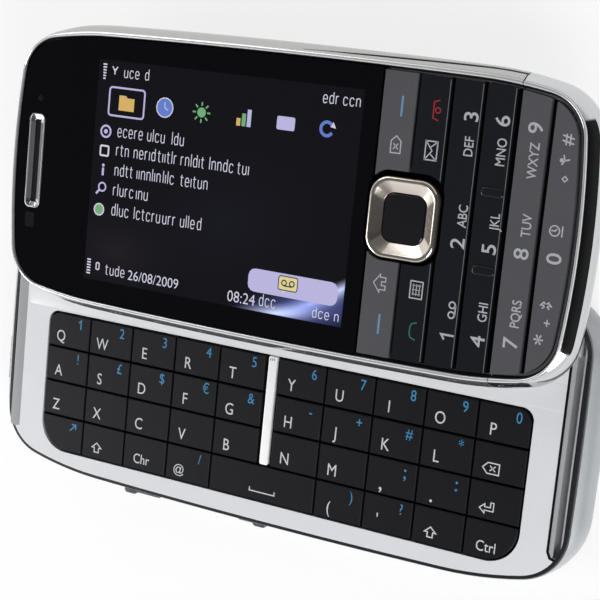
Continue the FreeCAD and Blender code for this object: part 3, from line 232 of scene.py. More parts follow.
def between(one, other, share):
    return tuple(a + (b - a) * share for a, b in zip(one, other))


def plan(shape, z, middle_y=0.0):
    """A soft rectangle at height z: bowed ends and sides, with a corner arc and a shoulder arc between."""
    length, width, corner, end, side, shoulder = shape
    end_x, side_y = length / 2 - end, width / 2 - side
    lean = math.acos(shoulder_start / side)
    hub_x = (side - shoulder) * math.cos(lean)
    hub_y = side_y + (side - shoulder) * math.sin(lean)
    from_hub, from_end = shoulder - corner, end - corner
    apart = math.hypot(end_x - hub_x, hub_y)
    along = (from_hub ** 2 - from_end ** 2 + apart ** 2) / (2 * apart)
    off = math.sqrt(from_hub ** 2 - along ** 2)
    to_x, to_y = (end_x - hub_x) / apart, -hub_y / apart
    crossings = [(hub_x + to_x * along - to_y * off * sign, hub_y + to_y * along + to_x * off * sign)
                 for sign in (-1, 1)]
    bend_x, bend_y = max(crossings, key=sum)
    at_end = math.atan2(bend_y, bend_x - end_x)
    at_side = math.atan2(bend_y - hub_y, bend_x - hub_x)
    arcs = ((end_x, 0, end, 0, at_end), (bend_x, bend_y, corner, at_end, at_side),
            (hub_x, hub_y, shoulder, at_side, lean), (0, side_y, side, lean, math.pi / 2))
    quarter = [(length / 2, 0.0)]
    for (x, y, radius, start, stop), steps in zip(arcs, arc_steps):
        for step in range(1, steps + 1):
            turn = start + (stop - start) * step / steps
            quarter.append((x + radius * math.cos(turn), y + radius * math.sin(turn)))
    half = quarter + [(-x, y) for x, y in reversed(quarter[:-1])]
    loop = half + [(x, -y) for x, y in reversed(half[1:-1])]
    return [Vector((x, y + middle_y, z)) for x, y in loop]


def swell(low, low_shape, waist, full_shape, high, high_shape, bands=10):
    """Heights and outlines of a wall that bulges out to its waist."""
    rising = [(index / bands, low, low_shape) for index in range(bands)]
    falling = [(index / bands, high, high_shape) for index in range(bands, -1, -1)]
    return [(level + (waist - level) * part, between(shape, full_shape, 1 - (1 - part) ** 2))
            for part, level, shape in rising + falling]


def skin(rings, closed=True):
    """Joins rings of points into one closed form: a tube that meets itself, or a form with flat ends."""
    mesh = bmesh.new()
    rows = [[mesh.verts.new(point) for point in ring] for ring in rings]
    pairs = list(zip(rows, rows[1:])) + ([(rows[-1], rows[0])] if closed else [])
    for lower, upper in pairs:
        for index in range(len(lower)):
            following = (index + 1) % len(lower)
            mesh.faces.new((lower[index], lower[following], upper[following], upper[index]))
    if not closed:
        mesh.faces.new(list(reversed(rows[0])))
        mesh.faces.new(rows[-1])
    return mesh


def block(x, y, z):
    """A cutting block between low and high X, Y and Z."""
    mesh = bmesh.new()
    bmesh.ops.create_cube(mesh, size=1)
    for vertex in mesh.verts:
        vertex.co = [low + (high - low) * (part + 0.5) for part, (low, high) in zip(vertex.co, (x, y, z))]
    return mesh


def drill(x, y, z, radius, length):
    """A round cutter along X."""
    mesh = bmesh.new()
    bmesh.ops.create_cone(mesh, segments=40, radius1=radius, radius2=radius, depth=length, cap_ends=True)
    bmesh.ops.rotate(mesh, verts=mesh.verts, matrix=Matrix.Rotation(math.pi / 2, 3, "Y"))
    bmesh.ops.translate(mesh, verts=mesh.verts, vec=(x, y, z))
    return mesh


def as_object(mesh, name):
    data = bpy.data.meshes.new(name)
    mesh.to_mesh(data)
    mesh.free()
    thing = bpy.data.objects.new(name, data)
    bpy.context.scene.collection.objects.link(thing)
    return thing


def carve(mesh, tools, way="DIFFERENCE"):
    """Cuts the tools away from a form, or keeps only what lies in the one tool."""
    bmesh.ops.recalc_face_normals(mesh, faces=mesh.faces)
    work = as_object(mesh, "work")
    cutters = [as_object(tool, "cutter") for tool in tools]
    for cutter in cutters:
        step = work.modifiers.new("cut", "BOOLEAN")
        step.operation = way
        step.solver = "EXACT"
        step.object = cutter
    result = bpy.data.meshes.new_from_object(work.evaluated_get(bpy.context.evaluated_depsgraph_get()))
    for thing in [work] + cutters:
        bpy.data.meshes.remove(thing.data)
    out = bmesh.new()
    out.from_mesh(result)
    bpy.data.meshes.remove(result)
    return out


def piece(name, mesh, material, body, stands_for=(), crease=32):
    """Makes an object of a form drawn in millimetres: it rides on a body and may stand for nodes of the model."""
    bmesh.ops.remove_doubles(mesh, verts=mesh.verts, dist=0.0005)
    bmesh.ops.dissolve_degenerate(mesh, edges=mesh.edges, dist=0.0005)
    bmesh.ops.recalc_face_normals(mesh, faces=mesh.faces)
    for face in mesh.faces:
        face.smooth = True
    for edge in mesh.edges:
        edge.smooth = len(edge.link_faces) == 2 and edge.calc_face_angle() < math.radians(crease)
    bmesh.ops.scale(mesh, vec=(mm, mm, mm), verts=mesh.verts)
    thing = as_object(mesh, name)
    thing.data.materials.append(material)
    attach(thing, body)
    if stands_for:
        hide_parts(*stands_for)
    return thing


def dress(material, *nodes, edge=0.0):
    """Gives nodes of the model a finish, and softens their edges by so many millimetres."""
    for name in nodes:
        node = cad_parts[name]
        node.data.materials.clear()
        node.data.materials.append(material)
        if edge:
            soft = node.modifiers.new("soft_edge", "BEVEL")
            soft.width = edge * mm
            soft.segments = 2
            soft.limit_method = "ANGLE"
            soft.angle_limit = math.radians(40)
            soft.harden_normals = True


def frame_band():
    """The whole band, before its openings."""
    lip = inset(deck_shape, -lip_reach)
    outer = swell(frame_foot, foot_shape, frame_waist, waist_shape, frame_top, lip)
    top = [(frame_top - 0.02, inset(deck_shape, -lip_reach + 0.12)), (frame_top - 0.1, deck_shape)]
    rings = []
    for z, shape in outer + top + [(frame_foot, deck_shape)]:
        share = (shape[1] - deck_shape[1]) / (waist_shape[1] - deck_shape[1])
        rings.append(plan(shape, z, waist_shift * max(share, 0)))
    return skin(rings)


satin_frame = finish("satin_frame_paint", frame_paint, 0.36, metal=0.25, grain=0.12, relief=0.002)
side_key_half = 1.1 + seam
openings = [block((low - seam, high + seam), (-27, -22.7), (flap_low - seam, flap_high + seam))
            for low, high in flap_spans.values()]
openings += [block(x, (22.7, 27), (port_level - side_key_half, port_level + side_key_half))
             for x in ((-28.3, -7.7), (21.2, 30.8))]
openings.append(block((-57, -51.8), (-10.3, -1.7), (port_level - side_key_half, port_level + side_key_half)))
openings.append(drill(-54, 12.0, port_level, 2.2, 6))
openings.append(drill(54, 14.2, port_level, 1.5, 6))
piece("side_frame_band", carve(frame_band(), openings), satin_frame, "base", ["side_frame"])

# Port flaps: lids cut from the same band, hinged at one end, each with a lip for a finger nail at the other.
lip_y, lip_length, lip_reach_out, ridge_length, ridge_reach = -24.5, 2.6, 0.85, 5.2, 0.5
nail_places = {"usb_flap": (-27.2, -23.6), "card_flap": (-1.2, -2.9)}
# The nail lips and ridges are the band's own satin paint, drawn dark grey as painted shade.
lip_painted_shade = finish("lip_painted_shade", (70, 71, 74), 0.42, grain=0.1)


def lozenge(x, y, length, width, corner, z, steps=5):
    """A rounded rectangle at height z."""
    corner = min(corner, length / 2 - 0.001, width / 2 - 0.001)
    points = []
    for turn, (sign_x, sign_y) in enumerate(((1, 1), (-1, 1), (-1, -1), (1, -1))):
        for step in range(steps + 1):
            angle = (turn + step / steps) * math.pi / 2
            points.append(Vector((x + sign_x * (length / 2 - corner) + corner * math.cos(angle),
                                  y + sign_y * (width / 2 - corner) + corner * math.sin(angle), z)))
    return points


def tablet(x, y, length, width, corner, low, high, edge, foot_edge=0.0, crown=0.0, steps=5):
    """A rounded block with softened edges and a slightly crowned top."""
    rings = []
    for part in range(3):
        angle = part / 3 * math.pi / 2
        rings.append((foot_edge * (1 - math.sin(angle)), low + foot_edge * (1 - math.cos(angle))))
    for part in range(5):
        angle = part / 4 * math.pi / 2
        rings.append((edge * (1 - math.cos(angle)), high - crown - edge * (1 - math.sin(angle))))
    if crown:
        room_left = min(length, width) / 2 - edge
        for part in (0.25, 0.5, 0.75, 0.95):
            rings.append((edge + room_left * part, high - crown * (1 - part) ** 2))
    loops = [lozenge(x, y, length - off * 2, width - off * 2, max(corner - off, 0.02), z, steps)
             for off, z in rings]
    return skin(loops, closed=False)


for name, (low, high) in flap_spans.items():
    lid = carve(frame_band(), [block((low, high), (-27, -23.7 - seam), (flap_low, flap_high))], "INTERSECT")
    piece(f"{name}_lid", lid, satin_frame, name, [name])
    lip_x, ridge_x = nail_places[name]
    lip = tablet(lip_x, lip_y, lip_length, lip_reach_out * 2, 0.6, 4.35, 5.45, 0.18, 0.18)
    piece(f"{name}_nail_lip", lip, lip_painted_shade, name)
    ridge = tablet(ridge_x, lip_y, ridge_length, ridge_reach * 2, 0.45, 4.5, 5.2, 0.12, 0.12)
    piece(f"{name}_ridge", ridge, lip_painted_shade, name)

# Chassis: the black moulded tray inside the band. It holds the boards, the battery, the rails and the ports.
chassis_black = finish("chassis_black", (28, 28, 31), 0.42, gloss=0.3, grain=0.15, relief=0.004, tone=0.12)
dress(chassis_black, "base_housing", edge=0.06)

# Keyboard bezel: a moulded plate in fine silver-white paint, snapped round the keys, with two arms beside
# the slide rails. The glossy white bar between the key blocks has three fine ribs at its upper end.
bar_width, bar_corner = 1.5, 0.3
bezel_white = finish("bezel_white", (219, 220, 223), 0.3, gloss=0.5, coat=0.25, grain=0.08, relief=0.0015, tone=0.03)
bar_white = finish("bar_white", (254, 254, 255), 0.2, gloss=0.6, coat=0.6, grain=0.1, relief=0.001, tone=0.02)
rib_grey = finish("rib_grey", (92, 93, 96), 0.4, grain=0.05)
dress(bezel_white, "keyboard_bezel", edge=0.12)
tongue = tablet(0, 7.3, 99.0, 4.2, 0.3, 8.0, 8.215, 0.01)
piece("bezel_tongue", tongue, bezel_white, "base", crease=15)
bar_low, bar_high = (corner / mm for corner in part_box("centre_bar"))
bar = tablet(0, (bar_low.y + bar_high.y) / 2, bar_width, bar_high.y - bar_low.y, bar_corner, bar_low.z, bar_high.z, 0.16)
piece("white_bar", bar, bar_white, "base", ["centre_bar"])
for index in range(3):
    rib = tablet((index - 1) * 0.36, bar_high.y - 0.55, 0.16, 0.42, 0.05, bar_high.z - 0.1, bar_high.z + 0.02, 0.02)
    piece(f"bar_rib_{index + 1}", rib, rib_grey, "base")

# Slide rails and runners: folded spring steel, bead-blasted, with a black felt strip along the right-hand
# rail that keeps dust out of it.
rail_steel = finish("rail_steel", (170, 171, 173), 0.5, metal=0.25, grain=0.08, relief=0.0008, tone=0.03)
dress(rail_steel, "rail_left", "rail_right", "runner_left", "runner_right", edge=0.05)

felt_line = [(49.88, 15.0), (49.88, -16.35), (50.32, -17.25), (51.1, -17.5)]
felt_wide, felt_level = 0.4, 8.2
felt_black = finish("felt_black", (20, 20, 21), 0.9, gloss=0.05, grain=0.1, relief=0.01)
lip_rubber = finish("lip_rubber", (158, 159, 161), 0.6, gloss=0.2, grain=0.1)


# Letter keys: satin black caps on a rubber mat, thirty-nine in nine rows and half rows, printed in white
# with a second set of marks in blue.
key_pitch_x, key_pitch_y = 8.77, 6.15
keys_top_y, keys_low_x, bar_slot = 4.62, -45.04, 2.38
key_top = 8.28
letter_height, second_height = 1.92, 1.7
letter_width = 0.85
letter_x, letter_y = -1.68, -1.0
second_x, second_y = 2.28, 1.5
key_black = finish("key_black", (23, 23, 27), 0.45, gloss=0.14, grain=0.07, relief=0.0015, tone=0.08)
mat_black = finish("mat_black", (15, 15, 16), 0.75, gloss=0.15, grain=0.2, relief=0.01)
board_green = finish("board_green", (36, 92, 58), 0.35, gloss=0.5, grain=1.2, relief=0.01, tone=0.15)
dress(mat_black, "key_mat")
dress(board_green, "circuit_board")


def ink(name, colour, glow=0.0):
    """Printed ink, or lit pixels where it glows."""
    material = finish(name, colour, 0.45, gloss=0.3, grain=0.05, relief=0.0008, tone=0.04)
    if glow:
        shader = material.node_tree.nodes["Principled BSDF"]
        shader.inputs["Emission Color"].default_value = (*shade(*colour), 1)
        shader.inputs["Emission Strength"].default_value = glow
        for link in list(shader.inputs["Base Color"].links):
            material.node_tree.links.remove(link)
        shader.inputs["Base Color"].default_value = (0.01, 0.01, 0.01, 1)
    return material


def letter_scale():
    """Height of a capital in the built-in face, for a size of one."""
    curve = bpy.data.curves.new("letter", "FONT")
    curve.body = "H"
    holder = bpy.data.objects.new("letter", curve)
    shape = bpy.data.meshes.new_from_object(holder)
    return max(vertex.co.y for vertex in shape.vertices)


capital = letter_scale()


class Pen:
    """Draws printed marks as thin flat solids on a surface, in millimetres."""

    def __init__(self, level, thick=0.012):
        self.mesh = bmesh.new()
        self.level, self.thick = level, thick
        self.at(0, 0)

    def at(self, x, y, turn=0.0, scale=1.0):
        self.place = Matrix.Translation((x, y, self.level)) @ Matrix.Rotation(turn, 4, "Z")
        self.place = self.place @ Matrix.Diagonal((scale, scale, 1, 1))
        return self

    def text(self, words, height, side="CENTER", wide=1.0, bold=0.0):
        if words == "1":
            flag = [(-0.24, 0.2), (0.07, 0.44), (0.07, -0.5)]
            return self.line([(x * height * wide, y * height) for x, y in flag], 0.14 * height)
        curve = bpy.data.curves.new("letters", "FONT")
        curve.body = words
        curve.size = height / capital
        curve.align_x = side
        curve.resolution_u = 4
        curve.offset = bold * height
        curve.extrude = self.thick / 2
        holder = bpy.data.objects.new("letters", curve)
        shape = bpy.data.meshes.new_from_object(holder)
        shape.transform(self.place @ Matrix.Diagonal((wide, 1, 1, 1)) @ Matrix.Translation((0, -height / 2, self.thick / 2)))
        self.mesh.from_mesh(shape)
        bpy.data.objects.remove(holder)
        return self

    def area(self, points):
        """A filled outline, given counter-clockwise."""
        low = [self.mesh.verts.new(self.place @ Vector((x, y, 0))) for x, y in points]
        high = [self.mesh.verts.new(self.place @ Vector((x, y, self.thick))) for x, y in points]
        self.mesh.faces.new(list(reversed(low)))
        self.mesh.faces.new(high)
        for index in range(len(points)):
            following = (index + 1) % len(points)
            self.mesh.faces.new((low[index], low[following], high[following], high[index]))
        return self

    def line(self, points, width, closed=False):
        """A line of even width through the points."""
        count = len(points)
        rails = ([], [])
        for index, point in enumerate(points):
            here = Vector(point)
            before = Vector(points[index - 1]) if index or closed else None
            after = Vector(points[(index + 1) % count]) if index + 1 < count or closed else None
            come = (here - before).normalized() if before else (after - here).normalized()
            leave = (after - here).normalized() if after else come
            across = Vector((-(come.y + leave.y), come.x + leave.x))
            across.normalize()
            reach = width / 2 / max(across.dot(Vector((-come.y, come.x))), 0.4)
            rails[0].append(here + across * reach)
            rails[1].append(here - across * reach)
        for index in range(count if closed else count - 1):
            following = (index + 1) % count
            self.area([rails[1][index], rails[1][following], rails[0][following], rails[0][index]])
        return self

    def curve(self, x, y, radius, start, stop, width, steps=14, flat=1.0):
        """A round line from one angle to another, in degrees."""
        full = stop - start >= 360
        angles = [math.radians(start + (stop - start) * step / steps) for step in range(steps + (not full))]
        return self.line([(x + radius * math.cos(a), y + radius * flat * math.sin(a)) for a in angles], width, full)

    def disc(self, x, y, radius, steps=18):
        angles = [math.tau * step / steps for step in range(steps)]
        return self.area([(x + radius * math.cos(a), y + radius * math.sin(a)) for a in angles])

    def bar(self, x, y, length, width, corner=0.0):
        if corner:
            return self.area([(point.x, point.y) for point in lozenge(x, y, length, width, corner, 0, 3)])
        return self.area([(x - length / 2, y - width / 2), (x + length / 2, y - width / 2),
                          (x + length / 2, y + width / 2), (x - length / 2, y + width / 2)])

    def hand_in(self, name, material, body, slot):
        return piece(name, self.mesh, material, body)


felt = Pen(felt_level, 0.04)
felt.line(felt_line, felt_wide)
felt.hand_in("rail_felt", felt_black, "base", "mat_rubber")
seal = tablet(-51.12, 0, 1.96, 34.9, 0.7, 8.16, 8.215, 0.01)
piece("rail_seal", seal, lip_rubber, "base", crease=15)


def shift_mark(pen):
    pen.line([(-0.45, -0.75), (0.45, -0.75), (0.45, 0.05), (0.95, 0.05), (0, 0.9), (-0.95, 0.05), (-0.45, 0.05)], 0.2, True)


def clear_mark(pen):
    pen.line([(-1.45, 0), (-0.65, 0.85), (1.25, 0.85), (1.25, -0.85), (-0.65, -0.85)], 0.19, True)
    pen.line([(-0.25, -0.42), (0.65, 0.42)], 0.18)
    pen.line([(-0.25, 0.42), (0.65, -0.42)], 0.18)


def enter_mark(pen):
    pen.line([(0.6, 0.85), (1.1, 0.85), (1.1, -0.5), (-0.35, -0.5), (-0.35, -0.95), (-1.2, -0.22), (-0.35, 0.5),
              (-0.35, 0.05), (0.6, 0.05)], 0.17, True)


def space_mark(pen):
    pen.line([(-2.35, 0.3), (-2.35, -0.3), (2.35, -0.3), (2.35, 0.3)], 0.19)


def slant_mark(pen):
    pen.line([(-0.6, -0.6), (0.5, 0.5)], 0.22)
    pen.line([(-0.25, 0.6), (0.6, 0.6), (0.6, -0.25)], 0.22)


key_marks = {"shift": shift_mark, "clear": clear_mark, "enter": enter_mark, "space": space_mark, "slant": slant_mark}
key_rows = [
    (["Q", "W", "E", "R", "T"], list("12345"), ["Y", "U", "I", "O", "P"], list("67890")),
    (["A", "S", "D", "F", "G"], list("!£$€&"), ["H", "J", "K", "L", "clear"], ["-", "+", "#", "*", ""]),
    (["Z", "X", "C", "V", "B"], [""] * 5, ["N", "M", ",", ".", "enter"], ["", "", ";", ":", ""]),
    (["", "shift", "Chr", "@"], ["slant", "", "", "/"], ["(", "'", "shift", "Ctrl"], [")", "?", "", ""]),
]
mark_white = ink("mark_white", (198, 200, 204))
mark_blue = ink("mark_blue", (62, 132, 178))
odd_signs = {",": 1.35, ".": 1.35, ";": 1.35, ":": 1.35, "@": 0.78}
ink_level = key_top + 0.001


def key_middle(row, column):
    """Middle of a key top, counted from the first row and from the left."""
    low_x = keys_low_x + key_pitch_x * column + (bar_slot if column > 4 else 0)
    return low_x + key_pitch_x / 2, keys_top_y - key_pitch_y * (row + 0.5)


def mark_key(pen, sign, x, y, height):
    if sign in key_marks:
        key_marks[sign](pen.at(x + 0.5, y))
    elif len(sign) > 1:
        pen.at(x + 1.1, y).text(sign, height * 0.86, wide=letter_width)
    elif sign in odd_signs:
        pen.at(x, y).text(sign, height * odd_signs[sign])
    elif sign:
        pen.at(x, y).text(sign, height, wide=letter_width)


for row, (left, left_second, right, right_second) in enumerate(key_rows):
    for side, signs, seconds in (("left", left, left_second), ("right", right, right_second)):
        node = f"keys_row_{row + 1}_{side}"
        dress(key_black, node)
        first_column = 0 if side == "left" else 10 - len(signs)
        white, blue = Pen(ink_level), Pen(ink_level)
        for column, (sign, second) in enumerate(zip(signs, seconds), first_column):
            x, y = key_middle(row, column)
            mark_key(white, sign, x + letter_x, y + letter_y, letter_height)
            mark_key(blue, second, x + second_x - (0.5 if second in key_marks else 0), y + second_y, second_height)
        white.hand_in(f"letters_row_{row + 1}_{side}", mark_white, node, "keyboard_key")
        if any(seconds):
            blue.hand_in(f"signs_row_{row + 1}_{side}", mark_blue, node, "keyboard_key")
        else:
            blue.mesh.free()
dress(key_black, "space_key")
space_mark_pen = Pen(ink_level)
space_mark(space_mark_pen.at(0.3, keys_top_y - key_pitch_y * 3.5 - 1.2))
space_mark_pen.hand_in("space_sign", mark_white, "space_key", "keyboard_key")

# Back of the base: a sliding cover of brushed metal, a fixed black cap with the camera, the flash and the
# loudspeaker grille, and under them the battery and the screws that hold the chassis.
cover_metal = finish("cover_metal", (150, 152, 156), 0.34, metal=0.85, grain=0.07, relief=0.002, tone=0.06,
                     stretch=(0.04, 1, 1))
cap_black = finish("cap_black", (46, 46, 49), 0.5, gloss=0.4, grain=0.14, relief=0.006, tone=0.1)
trim_chrome = finish("trim_chrome", (214, 216, 219), 0.1, metal=1.0, grain=0.3, relief=0.0006, tone=0.03, polish=0.03)
lens_black = finish("lens_black", (14, 14, 20), 0.04, gloss=0.8, coat=1.0, grain=0.6, relief=0.0002, polish=0.01)
module_black = finish("module_black", (26, 26, 27), 0.55, gloss=0.3, grain=0.2, relief=0.005)
flash_clear = finish("flash_clear", (226, 224, 205), 0.14, gloss=0.7, coat=0.6, grain=0.5, relief=0.02, tone=0.06)
grille_steel = finish("grille_steel", (96, 97, 99), 0.3, metal=0.9, grain=0.3, relief=0.004, tone=0.1)
battery_foil = finish("battery_foil", (188, 190, 194), 0.4, metal=0.2, grain=0.5, relief=0.003, tone=0.04)
screw_steel = finish("screw_steel", (150, 150, 150), 0.25, metal=1.0, grain=0.1, relief=0.003, tone=0.1)
dress(cover_metal, "battery_cover", edge=0.2)
dress(cap_black, "back_end_cap", edge=0.2)
dress(trim_chrome, "camera_trim", edge=0.08)
dress(lens_black, "camera_glass", edge=0.08)
dress(module_black, "camera_module", "loudspeaker")
dress(flash_clear, "flash_lens", edge=0.1)
dress(grille_steel, "speaker_grille", edge=0.05)
dress(battery_foil, "battery")
dress(screw_steel, "housing_screws", edge=0.04)

# Ports: stamped steel shells for data and card, a black headset socket and a plated charger socket.
socket_steel = finish("socket_steel", (186, 187, 190), 0.2, metal=1.0, grain=0.15, relief=0.002, tone=0.06)
socket_black = finish("socket_black", (24, 24, 25), 0.4, gloss=0.4, grain=0.2, relief=0.004)
dress(socket_steel, "usb_socket", "card_holder", "charger_socket", edge=0.04)
dress(socket_black, "audio_jack", edge=0.06)

# Side keys: plastic caps in satin chrome, standing a little out of the band.
side_key_chrome = finish("side_key_chrome", (196, 198, 201), 0.24, metal=0.9, grain=0.1, relief=0.001, tone=0.04)
dress(side_key_chrome, "volume_rocker", "camera_key", "power_key", edge=0.22)

# Display half, outer band: a moulded shell in bright silver, with a mirror-plated cap over the keypad's end.
# A crease runs along the flank from the ring down to the cap.
open_y = 31.0
face_shape = (101.2, 46.0, 7.5, 140.0, 1500.0, 60.0)
body_shape = (105.2, 48.5, 8.8, 140.0, 1500.0, 60.0)
body_foot, body_waist, band_top = 8.65, 11.3, 14.0
band_reach, body_wall, ring_seat = 0.05, 1.2, 13.3
cap_seam, seam_gap = 39.4, 0.09
crease_start, crease_depth, crease_width = 3.0, 0.2, 0.17
slim_end = 0.6


def smooth_step(value):
    value = min(max(value, 0.0), 1.0)
    return value * value * (3 - 2 * value)


def crease_level(x):
    """Height of the crease, which falls towards the cap."""
    return band_top - 0.3 - 1.2 * (x - crease_start) / (cap_seam - crease_start)


def body_band():
    """The whole band of the display half, with its crease."""
    lip = inset(face_shape, -band_reach)
    wall = swell(body_foot, inset(body_shape, 0.7), body_waist, body_shape, band_top, lip, 30)
    top = [(band_top - 0.02, inset(face_shape, 0.04 - band_reach)), (band_top - 0.12, inset(face_shape, 0.06 - band_reach)),
           (ring_seat, inset(face_shape, 0.06 - band_reach)), (ring_seat, inset(face_shape, body_wall)),
           (body_foot, inset(face_shape, body_wall))]
    rings = [plan(shape, z, open_y) for z, shape in wall + top]
    edge = rings[len(wall) - 1]
    for ring in rings[:len(wall)]:
        for point, rim in zip(ring, edge):
            slim = slim_end * smooth_step((-point.x - 38) / 12)
            point.x += (rim.x - point.x) * slim
            point.y += (rim.y - point.y) * slim
            share = (point.x - crease_start) / (cap_seam - crease_start)
            if 0 < share < 1.05 and abs(point.y - open_y) > 20:
                level = crease_level(point.x)
                depth = crease_depth * smooth_step(share * 2) * math.exp(-((point.z - level) / crease_width) ** 2)
                point.y -= math.copysign(depth, point.y - open_y)
    return skin(rings)


def part_off(mesh, place, keep_high, way=(1, 0, 0)):
    """Saws a form at a place along X or another way, keeps one side and closes the cut."""
    sawn = bmesh.ops.bisect_plane(mesh, geom=mesh.verts[:] + mesh.edges[:] + mesh.faces[:],
                                  plane_co=Vector(way) * place, plane_no=way, clear_inner=keep_high,
                                  clear_outer=not keep_high)
    edges = [item for item in sawn["geom_cut"] if isinstance(item, bmesh.types.BMEdge)]
    bmesh.ops.edgeloop_fill(mesh, edges=edges)
    return mesh


bright_band = finish("bright_band_paint", (188, 188, 186), 0.12, metal=0.9, grain=0.1, relief=0.0005, tone=0.03)
mirror_plate = finish("mirror_plate", (206, 208, 209), 0.045, metal=1.0, grain=0.8, relief=0.0003, tone=0.02, polish=0.015)
band = piece("display_band", part_off(body_band(), cap_seam - seam_gap, False), bright_band, "display_half",
             ["upper_housing"])
cap = piece("keypad_end_cap", part_off(body_band(), cap_seam + seam_gap, True), mirror_plate, "display_half",
            ["end_cap"])
for sawn in (band, cap):
    rounding = sawn.modifiers.new("rounded_cut", "BEVEL")
    rounding.width = 0.14 * mm
    rounding.segments = 3
    rounding.limit_method = "ANGLE"
    rounding.angle_limit = math.radians(62)


def flank_y(x, level):
    """How far the flank stands out from the middle at x and this height."""
    part = (band_top - level) / (band_top - body_waist)
    loop = plan(between(inset(face_shape, -band_reach), body_shape, 1 - (1 - part) ** 2), level)
    side = sorted((point.x, point.y) for point in loop if point.y > 0)
    for (low_x, low_y), (high_x, high_y) in zip(side, side[1:]):
        if low_x <= x <= high_x:
            return low_y + (high_y - low_y) * (x - low_x) / max(high_x - low_x, 1e-6)


# Painted shade in the crease: a thin dark strip laid along it on each flank, for the shadow the groove holds.
crease_painted_shade = finish("crease_painted_shade", (44, 44, 46), 0.4, grain=0.1)
for name, way in (("far", 1), ("near", -1)):
    rings = []
    for step in range(15):
        x = crease_start + (cap_seam - seam_gap - crease_start) * step / 14
        half = 0.02 + 0.09 * step / 14
        corners = ((crease_level(x) + half, 0.03), (crease_level(x) - half, 0.03), (crease_level(x) - half, -0.4),
                   (crease_level(x) + half, -0.4))
        rings.append([Vector((x, open_y + way * (flank_y(x, level) + out), level)) for level, out in corners])
    piece(f"crease_{name}", skin(rings, closed=False), crease_painted_shade, "display_half")

# Bright ring round the face: a plated bead in two lengths, parted where the cap begins. It stands on a black
# gasket that shows as a fine gap on each side of it.
ring_profile = [(0.62, 13.30), (0.62, 14.14), (0.58, 14.28), (0.50, 14.37), (0.38, 14.42), (0.24, 14.42), (0.10, 14.37),
                (0.00, 14.28), (-0.03, 14.14), (-0.03, 13.30)]
gasket_profile = [(0.98, 13.25), (0.98, 13.82), (0.94, 13.86), (-0.04, 13.86), (-0.06, 13.82), (-0.06, 13.25)]
ring_plate = finish("ring_plate", (226, 227, 229), 0.2, metal=0.6, gloss=0.7, grain=0.3, relief=0.0005, tone=0.02)
gasket_black = finish("gasket_black", (14, 14, 15), 0.7, gloss=0.15, grain=0.2, relief=0.004)


def face_loop(profile):
    """A closed ring from a profile of walls and heights, drawn in where the face is slim: at its ends."""
    edge = plan(inset(face_shape, profile[-1][0]), 0, open_y)
    rings = []
    for wall, z in profile:
        loop = plan(inset(face_shape, wall), z, open_y)
        for point, rim in zip(loop, edge):
            share = max(smooth_step((-point.x - 38) / 12) * 0.5, smooth_step((point.x - 38) / 12) * 0.35)
            point.x += (rim.x - point.x) * share
            point.y += (rim.y - point.y) * share
        rings.append(loop)
    return skin(rings)


piece("face_ring", part_off(face_loop(ring_profile), cap_seam - seam_gap, False), ring_plate, "display_half",
      ["front_bezel"])
piece("face_ring_end", part_off(face_loop(ring_profile), cap_seam + seam_gap, True), ring_plate, "display_half",
      ["front_bezel"])
piece("face_gasket", face_loop(gasket_profile), gasket_black, "display_half", ["front_bezel"])

# Slide plate: black coated sheet under the display half.
slide_black = finish("slide_black", (34, 34, 37), 0.3, gloss=0.5, metal=0.3, grain=0.1, relief=0.002)
dress(slide_black, "slide_plate", edge=0.05)

# Window: hard clear sheet printed black from behind, and the display under it. The lit picture is drawn as
# thin marks on the window, with a dark field, because the sheet itself is kept opaque.
window_black = finish("window_black", (8, 8, 11), 0.05, gloss=0.22, grain=1.5, relief=0.0002, polish=0.01)
panel_dark = finish("panel_dark", (30, 30, 34), 0.3, gloss=0.5)
dress(window_black, "display_window", edge=0.08)
dress(panel_dark, "display_panel")
dress(board_green, "display_board")
screen_x, screen_length, screen_width = -9.8, 48.77, 36.58
sensor_grey = finish("sensor_grey", (25, 25, 30), 0.1, gloss=0.3, grain=0.2, relief=0.0005)
sensors = Pen(14.401, 0.008)
sensors.at(-45.7, 41.6).disc(0, 0, 0.5).at(-46.3, 20.9).bar(0, 0, 1.9, 2.5, 0.3)
sensors.hand_in("sensor_marks", sensor_grey, "display_half", "display_panel")
screen_level = 14.401
pixels_level = screen_level + 0.011
screen_low_x, screen_high_x = screen_x - screen_length / 2, screen_x + screen_length / 2
screen_low_y, screen_high_y = open_y - screen_width / 2, open_y + screen_width / 2


